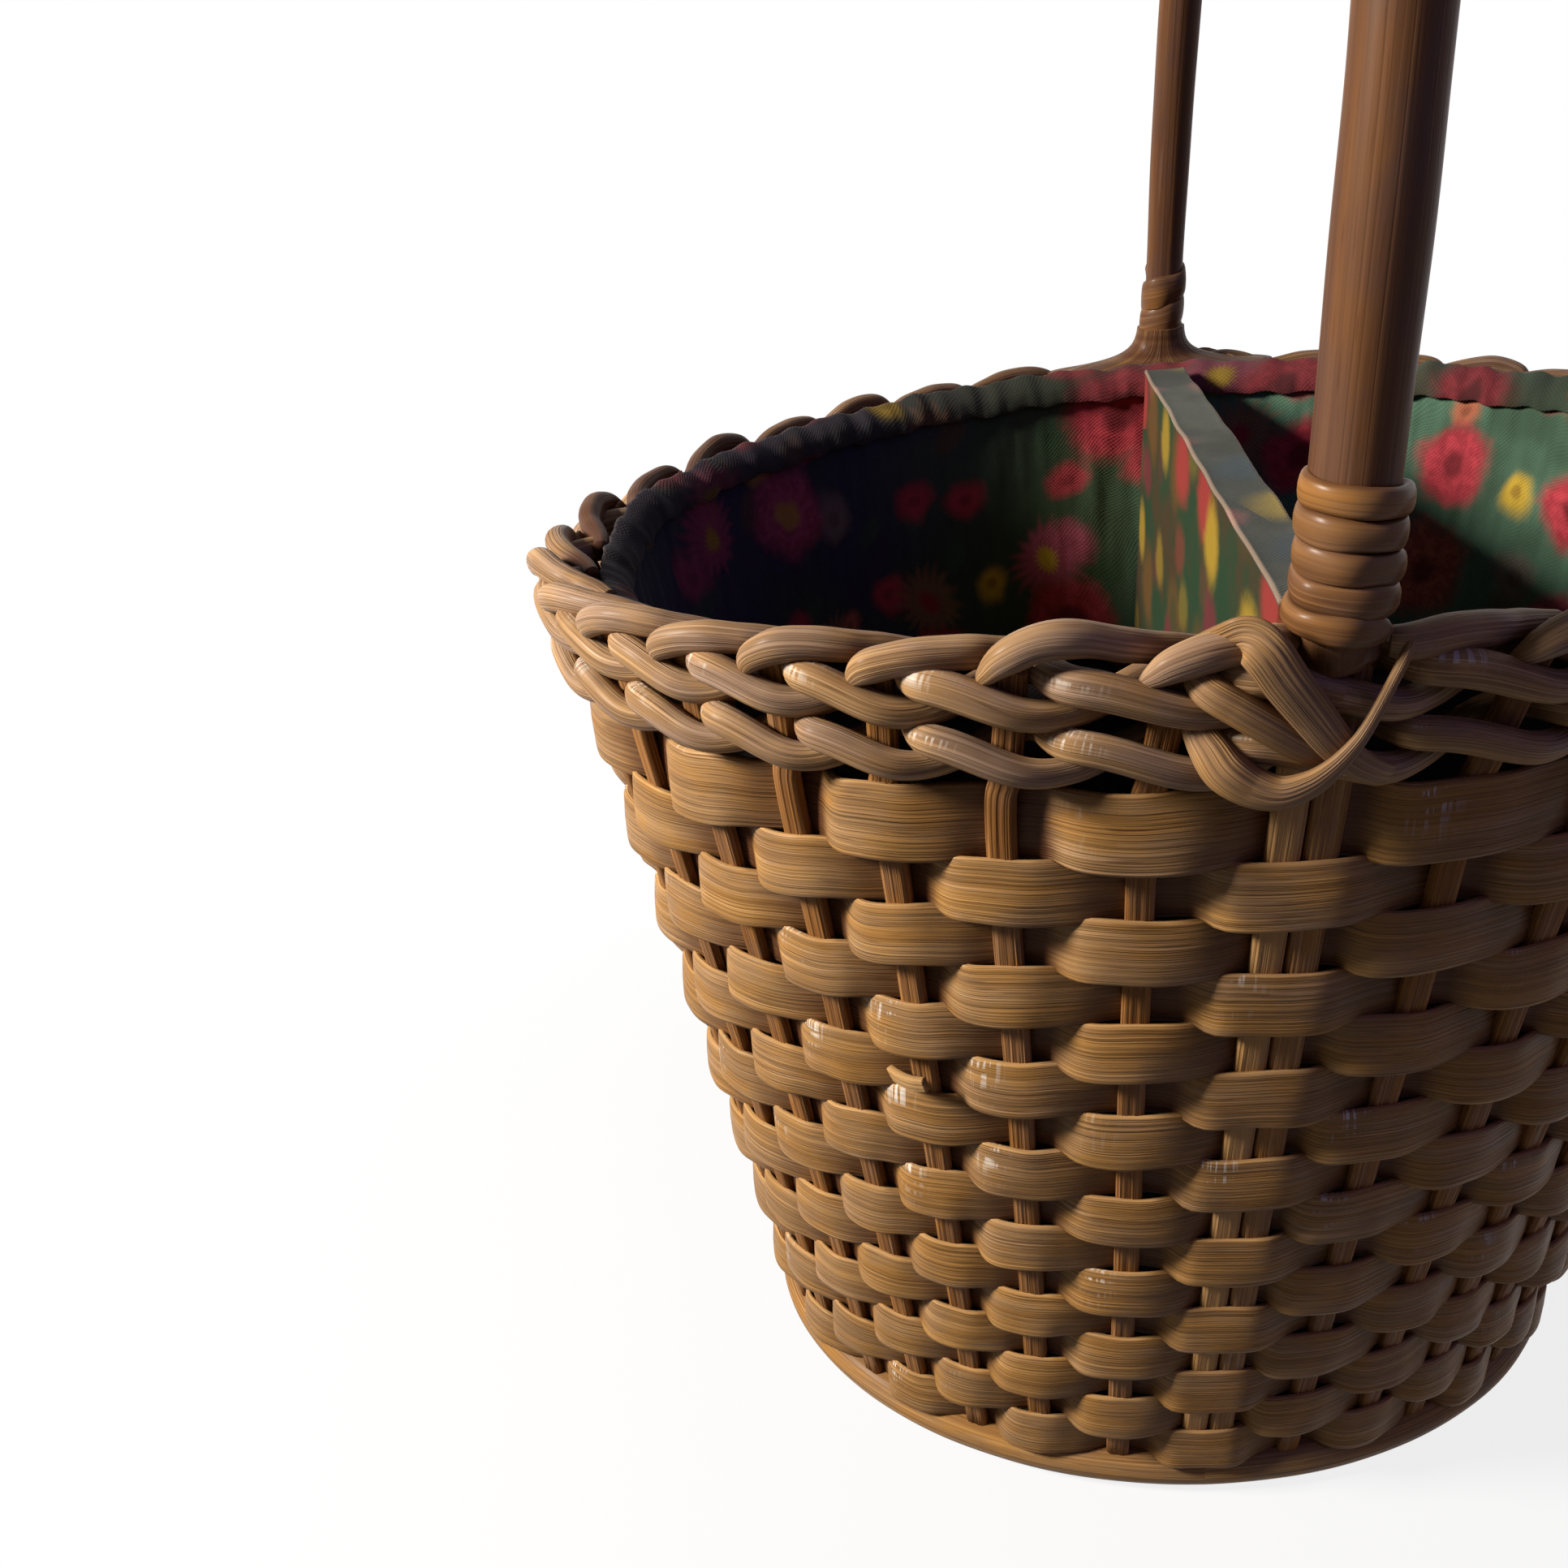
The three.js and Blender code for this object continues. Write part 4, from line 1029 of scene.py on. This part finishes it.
class BASKET_OT_bindings(BasketOperator, bpy.types.Operator):
    """Cane wound round both feet of the handle and lashed over the border"""

    bl_idname = "basket.bindings"
    bl_label = "Bindings and lashings"

    def bind(self, basket, near, turns, width, thick, look):
        """Round strand on a screw line about the handle's centre line, left-handed at the near foot and
        right-handed at the far one."""
        count = int(turns * 48)
        t = np.linspace(0, 1, count)
        wound = t * turns
        rise = basket.handle.binding_low + turns * width * (t + wobble(wound * 2.2, 4.0, 0.012))
        centre, out, radius = Arch(basket).above_foot(rise, near)
        side = unit(np.cross(out, UP))
        turn = (2.5 - TAU * wound if near else 2.4 + TAU * wound)[:, None]
        radial = side * np.cos(turn) + out * np.sin(turn)
        ease = 0.0001 * smooth_step((t - 0.86) / 0.08) + 0.0003 * smooth_step((0.3 - t) / 0.3) - 0.0006
        reach = radius + thick * 0.5 + ease + wobble(wound * 7, 3.0 if near else 5.0, 0.00030)
        wide = width / 2 * (1.04 + wobble(wound * 5, 2.0, 0.14)) * tapered(count, 0.02)
        deep = thick / 2 * (1 + wobble(wound * 9, 6.0, 0.24))
        x, _ = outline = section(18, 0.9)
        # Painted shade along the edges of each turn, where the turns meet, with a random variation of its own
        # tone
        tone = 0.50 * smooth_step((np.abs(x) - 0.62) / 0.36) + wobble(t * 60, 4.0, 0.12)[:, None]
        name = "binding_near" if near else "binding_far"
        strand(f"{name}_strand", centre + radial * reach[:, None], radial, (wide, deep), (0.0018, 0.0009),
               outline, tone, 40.0, look, [name])

    def lash(self, basket, name, place, steps, look, nodes):
        """Strand through its steps, whose lengths are in millimetres."""
        right, level, out, half, deep = spline(steps, 16 * len(steps)).T
        spots, level = place + right, basket.height + level * MM
        path, outward = basket.laid(spots, level, out * MM)
        x, _ = outline = section(22, 0.8)
        # Painted shade along the edges of each strand
        tone = 0.30 * smooth_step((np.abs(x) - 0.75) / 0.25)
        tone = tone + wobble(run_length(path) * 150, 2.0, 0.12)[:, None]
        strand(name, path, outward, (half * MM * tapered(len(path), 0.04), deep * MM), (0.002, 0.001),
               outline, tone, 50.0 + place, look, nodes, ribbed(outline, 7, 0.10), -0.3)

    def collar(self, basket, look):
        """Strands spread over the border at the far foot: a ribbed outline carried down the post, whose
        half width grows as the exponential of the way down."""
        rise = np.linspace(0.0066, -0.0015, 44)
        centre, out, radius = Arch(basket).above_foot(rise, False)
        spread = np.exp(-rise / 0.0017)
        spread = spread / spread[rise < 0.0004][0]
        x, _ = outline = section(60)
        tone = 0.80 + 0.08 * np.cos(7 * np.pi * x) + wobble(rise * 900, 3.0, 0.15)[:, None]
        size = (radius + 0.0010 + 0.0066 * spread, radius + 0.0012 + 0.0012 * spread)
        strand("lashing_far_collar", centre, out, size, (0.006, 0.005), outline, tone, 47.0, look,
               ribs=ribbed(outline, 7, 0.03))

    def execute(self, context):
        basket = Basket(context.scene)
        colours, h = basket.colours, basket.handle
        light, mid = dyed(colours.stake_light, 0.74), dyed(colours.handle_light, 0.86)
        finish = cane_finish("binding_finish", light, mid, 0.5, 0.40, 0.12, 0.2, lines=0.45)
        look = (finish, "wound_cane")
        self.bind(basket, True, h.near_turns, h.near_strand, h.strand_thick, look)
        self.bind(basket, False, h.far_turns, h.far_strand, 0.75 * h.strand_thick, look)
        look = (cane_finish("lashing_finish", colours.reed_light, colours.cane_mid, 0.9), "wound_cane")
        for name, place in (("near", 0.0), ("far", basket.far)):
            for way, steps in LASHING.items():
                steps = np.array(steps)
                if (name, way) == ("far", "over"):
                    steps[:, 1] = np.minimum(steps[:, 1], FAR_LASH_TOP)
                nodes = [f"lashing_{name}"] if way == "over" else []
                self.lash(basket, f"lashing_{name}_{way}", place, steps, look, nodes)
        self.collar(basket, look)
        return {"FINISHED"}


class BASKET_OT_lining(BasketOperator, bpy.types.Operator):
    """Printed cloth on the lining, its hem, the divider and the floor pads"""

    bl_idname = "basket.lining"
    bl_label = "Lining and divider"

    def band(self, basket, name, profile, look, node, creases, seed):
        """Closed band round the wall: a profile of levels and distances inwards carried round, whose upper
        part sits lower at the near side and higher at the far side, with soft creases that run up the
        cloth. Each step of the profile also has its share of the creases and its tone."""
        count = 680
        places = np.linspace(0, basket.stakes, count, endpoint=False)[:, None]
        level, inwards, face, tone = np.array(profile).T
        turn = places * TAU / basket.stakes
        crease = wobble(turn * 17 + 30 * level, seed, creases)
        crease = np.abs(crease + wobble(turn * 41 - 55 * level, seed + 3, creases * 0.5)) * face
        rise = (0.0042 * basket.backward(places) - 0.0030) * smooth_step((level - 0.10) / 0.08)
        height = level + rise + wobble(turn * 23, seed + 1, 0.0007) * face
        grid = basket.beside(places + 0 * level, height, -(inwards + crease))
        around = np.linspace(0, basket.round, count + 1)
        across = ring_length(np.stack([level, inwards], -1))
        return settle(carpet(name, grid, around, across, tone, seed, ring=True), look, [node])

    def execute(self, context):
        basket = Basket(context.scene)
        cloth, colours, around = basket.cloth, basket.colours, basket.round
        look = (print_finish("printed_cloth", colours, around), "printed_cloth")
        levels = np.linspace(cloth.board_top + 0.0006, cloth.lining_top - 0.0016, 40)
        share = (levels - cloth.board_top) / (cloth.lining_top - cloth.board_top)
        outer = cloth.foot_offset + (cloth.top_offset - cloth.foot_offset) * share
        profile = [(level, out + cloth.thick, 1.0, 0.0) for level, out in zip(levels, outer)]
        # The outer face, toward the weave, has tone one and is painted near black: painted shade behind the
        # weave
        profile += [(level, out, 0.0, 1.0) for level, out in zip(levels[::-4], outer[::-4])]
        wall_cloth = self.band(basket, "lining_cloth", profile, look, "lining_wall", 0.0004, 2.0)

        inner = cloth.top_offset + cloth.thick + 0.0003
        lip = np.array(LIP) * [MM, MM, 1, 1] + [basket.height, inner, 0, 0]
        # The hem's cloth is darkened all over: painted shade
        painted_lighting = (print_finish("shaded_hem_cloth", colours, around, 0.62), "hem_cloth")
        hem = self.band(basket, "lining_hem_fold", spline(lip, 49), painted_lighting, "lining_hem", 0.0005, 6.0)
        self.divider(basket, inner)
        self.pads(basket, look)
        return {"FINISHED"}

    def divider(self, basket, inner):
        """Board under cloth: a profile with crisp, slightly raised upper edges carried from foot to
        foot."""
        cloth, way = basket.cloth, Arch(basket).way
        half = cloth.divider_thick / 2
        low, high = cloth.board_top + 0.0003, cloth.divider_top
        flank = [(half, z, 0.0) for z in np.linspace(low, high - 0.0016, 30)]
        # The edges' tone of one carries the pale painted highlight of the seam
        edge = [(half + 0.0001, high - 0.0008, 0.0), (half + 0.0002, high - 0.0003, 1.0),
                (half - 0.0001, high + 0.0001, 1.0), (half - 0.0006, high, 0.5)]
        right = np.array(flank + edge)
        top = [(v, high - 0.0001, 0.5) for v in np.linspace(half - 0.0014, 0.0014 - half, 7)]
        profile = np.vstack([right, top, right[::-1] * [-1, 1, 1]])
        wide, level, tone = profile.T
        share = (level - cloth.board_top) / (cloth.lining_top - cloth.hem_depth - cloth.board_top)
        foot = cloth.foot_offset + cloth.thick
        inset = foot + (inner + 0.0011 - foot) * share + 0.0005
        near, far = (basket.beside(place + 0 * share, level, -inset) for place in (0.0, basket.far))
        count = 120
        t = np.linspace(0, 1, count)[:, None]
        swell = 1 + wobble(t * 9 + level * 60, 2.0, 0.04)
        across = np.array([way[1], -way[0], 0.0])
        grid = near + (far - near) * t[..., None] + across * (wide * swell)[..., None]
        grid[..., 2] = level + (level > high - 0.003) * wobble(t * 11, 4.0, 0.0004)
        along = np.linspace(0, float(np.linalg.norm(far[20] - near[20])), count)
        piece = carpet("divider_board", grid[::-1], along, ring_length(profile[:, :2]), tone, 11.0)
        settle(piece, (divider_finish(basket.colours), "hem_cloth"), ["divider"])

    def pads(self, basket, look):
        """Floor pads: an outline of half the oval drawn in ring by ring to a middle point, crowned a
        little."""
        cloth = basket.cloth
        inset = cloth.foot_offset + cloth.thick + 0.0006
        cut = (cloth.divider_thick / 2 + 0.0008) / basket.pitch(0.0, 0.0)
        share = np.array([0.02, 0.4, 0.75, 0.94, 1.0, 1.0, 0.94, 0.75, 0.4, 0.02])
        height = np.array([0, 0, 0, 0, 0.6, 1.4, 2.0, 2.1, 2.2, 2.2]) * MM + cloth.board_top + 0.0003
        for name, first in (("right", 0), ("left", basket.stakes // 2)):
            angle = basket.angle(np.linspace(first + cut, first + basket.far - cut, 80))
            edge = basket.line(angle, 0.0) - basket.level_out(angle) * inset
            chord = edge[-1] + (edge[0] - edge[-1]) * np.linspace(0, 1, 42)[1:-1, None]
            ring = np.vstack([edge, chord])[:, :2]
            centre = ring.mean(0)
            flat = centre + (ring - centre) * share[:, None, None]
            grid = np.dstack([flat, np.broadcast_to(height[:, None], flat.shape[:2])])
            along = np.cumsum(np.abs(np.gradient(share))) * 0.05
            piece = carpet(f"floor_pad_{name}_cloth", grid, along, ring_length(ring), 0.0, 13.0 + first)
            settle(piece, look, [f"floor_pad_{name}"])


class BASKET_OT_stage(BasketOperator, bpy.types.Operator):
    """Pale floor, soft lamps and the camera"""

    bl_idname = "basket.stage"
    bl_label = "Stage"

    def execute(self, context):
        scene = context.scene
        self.floor(scene)
        scene.world = bpy.data.worlds.new("studio")
        made = Bench(scene.world)
        strength = 0.04 + self.seen(made) * 0.96
        shade = made.node("ShaderNodeBackground", None, {"Color": (1.0, 1.0, 1.0), "Strength": strength})
        made.node("ShaderNodeOutputWorld", None, {"Surface": shade})
        self.lamp(scene, "key", (-0.76, -0.150, 0.56), 0.17, 15.2, (1.0, 0.94, 0.86))
        self.lamp(scene, "fill", (0.9, -0.7, 0.8), 1.0, 1.6, (0.20, 0.09, 1.0))
        self.camera(scene)
        scene.view_settings.view_transform = "Standard"
        return {"FINISHED"}

    def seen(self, made):
        """One on the rays that look at the background, straight, through glass or in a reflection."""
        path = made.node("ShaderNodeLightPath", output="Is Camera Ray")
        seen = path.maths("MAXIMUM", path, path.other("Is Glossy Ray"))
        return path.maths("MAXIMUM", seen, path.other("Is Transmission Ray"))

    def floor(self, scene):
        """Square sheet that shows the shadow near the object and fades to white around it."""
        mesh = bpy.data.meshes.new("floor")
        s = 6.0
        mesh.from_pydata([(-s, -s, 0), (s, -s, 0), (s, s, 0), (-s, s, 0)], [], [(0, 1, 2, 3)])
        floor = bpy.data.objects.new("floor", mesh)
        scene.collection.objects.link(floor)
        made = Bench(bpy.data.materials.new("floor_paper"))
        x, y, _ = made.split(made.node("ShaderNodeTexCoord", output="Object"))
        away, seen = (x * x + y * y) ** 0.5, self.seen(made)
        grey = made.blend(seen, (0.16, 0.16, 0.16), (0.68, 0.68, 0.68))
        paper = made.node("ShaderNodeBsdfDiffuse", None, {"Color": grey})
        glow = made.node("ShaderNodeEmission", None, {"Color": (1.0, 1.0, 1.0), "Strength": 1.0})
        share = seen * made.between(away, 0.12, 0.26, 0.84, 1.0)
        sheet = made.node("ShaderNodeMixShader", None, {0: share, 1: paper, 2: glow})
        made.node("ShaderNodeOutputMaterial", None, {"Surface": sheet})
        mesh.materials.append(made.owner)

    def place(self, scene, name, data, axes, spot):
        """Object at a spot, with its right, up and back along the axes."""
        turn = np.eye(4)
        turn[:3] = np.column_stack([*axes, spot])
        made = bpy.data.objects.new(name, data)
        made.matrix_world = Matrix(turn.tolist())
        scene.collection.objects.link(made)
        return made

    def lamp(self, scene, name, spot, size, power, colour):
        """Square lamp that faces the middle of the basket."""
        data = bpy.data.lights.new(name, "AREA")
        data.size, data.energy, data.color = size, power, colour
        back = unit(np.array(spot) - UP * 0.12)
        side = unit(np.cross(UP, back))
        self.place(scene, name, data, (side, np.cross(back, side), back), spot)

    def camera(self, scene):
        """Camera from its turn about the upright, its fall below level and its roll, with the photograph's
        centre shifted as it was."""
        yaw, fall, roll = -0.1, 0.601, 0.099
        focal, centre_x, centre_y, side = 1720.783, 1020.936, 1235.232, 1932.0
        sin, cos = np.sin, np.cos
        ahead = np.array([sin(yaw) * cos(fall), cos(yaw) * cos(fall), -sin(fall)])
        level_right = np.array([cos(yaw), -sin(yaw), 0.0])
        level_down = np.cross(ahead, level_right)
        right = level_right * cos(roll) + level_down * sin(roll)
        down = level_down * cos(roll) - level_right * sin(roll)
        data = bpy.data.cameras.new("camera")
        data.sensor_width, data.lens = 36.0, focal * 36.0 / side
        data.shift_x, data.shift_y = (side / 2 - centre_x) / side, (centre_y - side / 2) / side
        data.clip_start = 0.01
        spot = (-0.048654, -0.25964, 0.257918)
        scene.camera = self.place(scene, "camera", data, (right, -down, -ahead), spot)


STEPS = (
    BASKET_OT_stage,
    BASKET_OT_foot,
    BASKET_OT_stakes,
    BASKET_OT_border,
    BASKET_OT_reed,
    BASKET_OT_twine,
    BASKET_OT_handle,
    BASKET_OT_bindings,
    BASKET_OT_lining,
)

GROUPS = {
    "basket_wall": BasketWallSizes,
    "basket_cane": BasketCaneSizes,
    "basket_handle": BasketHandleSizes,
    "basket_cloth": BasketClothSizes,
    "basket_colours": BasketColours,
}


class BASKET_PT_panel(bpy.types.Panel):
    """Lists the steps that make the basket, and its sizes and colours"""

    bl_idname = "BASKET_PT_panel"
    bl_label = "Bottle basket"
    bl_space_type = "VIEW_3D"
    bl_region_type = "UI"
    bl_category = "Basket"

    def draw(self, context):
        for step in STEPS:
            self.layout.operator(step.bl_idname)
        for group in GROUPS:
            sizes = getattr(context.scene, group)
            for name in sizes.__annotations__:
                self.layout.prop(sizes, name)


def register():
    for group, kind in GROUPS.items():
        bpy.utils.register_class(kind)
        setattr(bpy.types.Scene, group, PointerProperty(type=kind))
    for step in STEPS:
        bpy.utils.register_class(step)
    bpy.utils.register_class(BASKET_PT_panel)


def unregister():
    bpy.utils.unregister_class(BASKET_PT_panel)
    for step in reversed(STEPS):
        bpy.utils.unregister_class(step)
    for group, kind in reversed(GROUPS.items()):
        delattr(bpy.types.Scene, group)
        bpy.utils.unregister_class(kind)


def main():
    register()
    for step in STEPS:
        getattr(bpy.ops.basket, step.bl_idname.split(".")[1])()


if __name__ == "__main__":
    main()
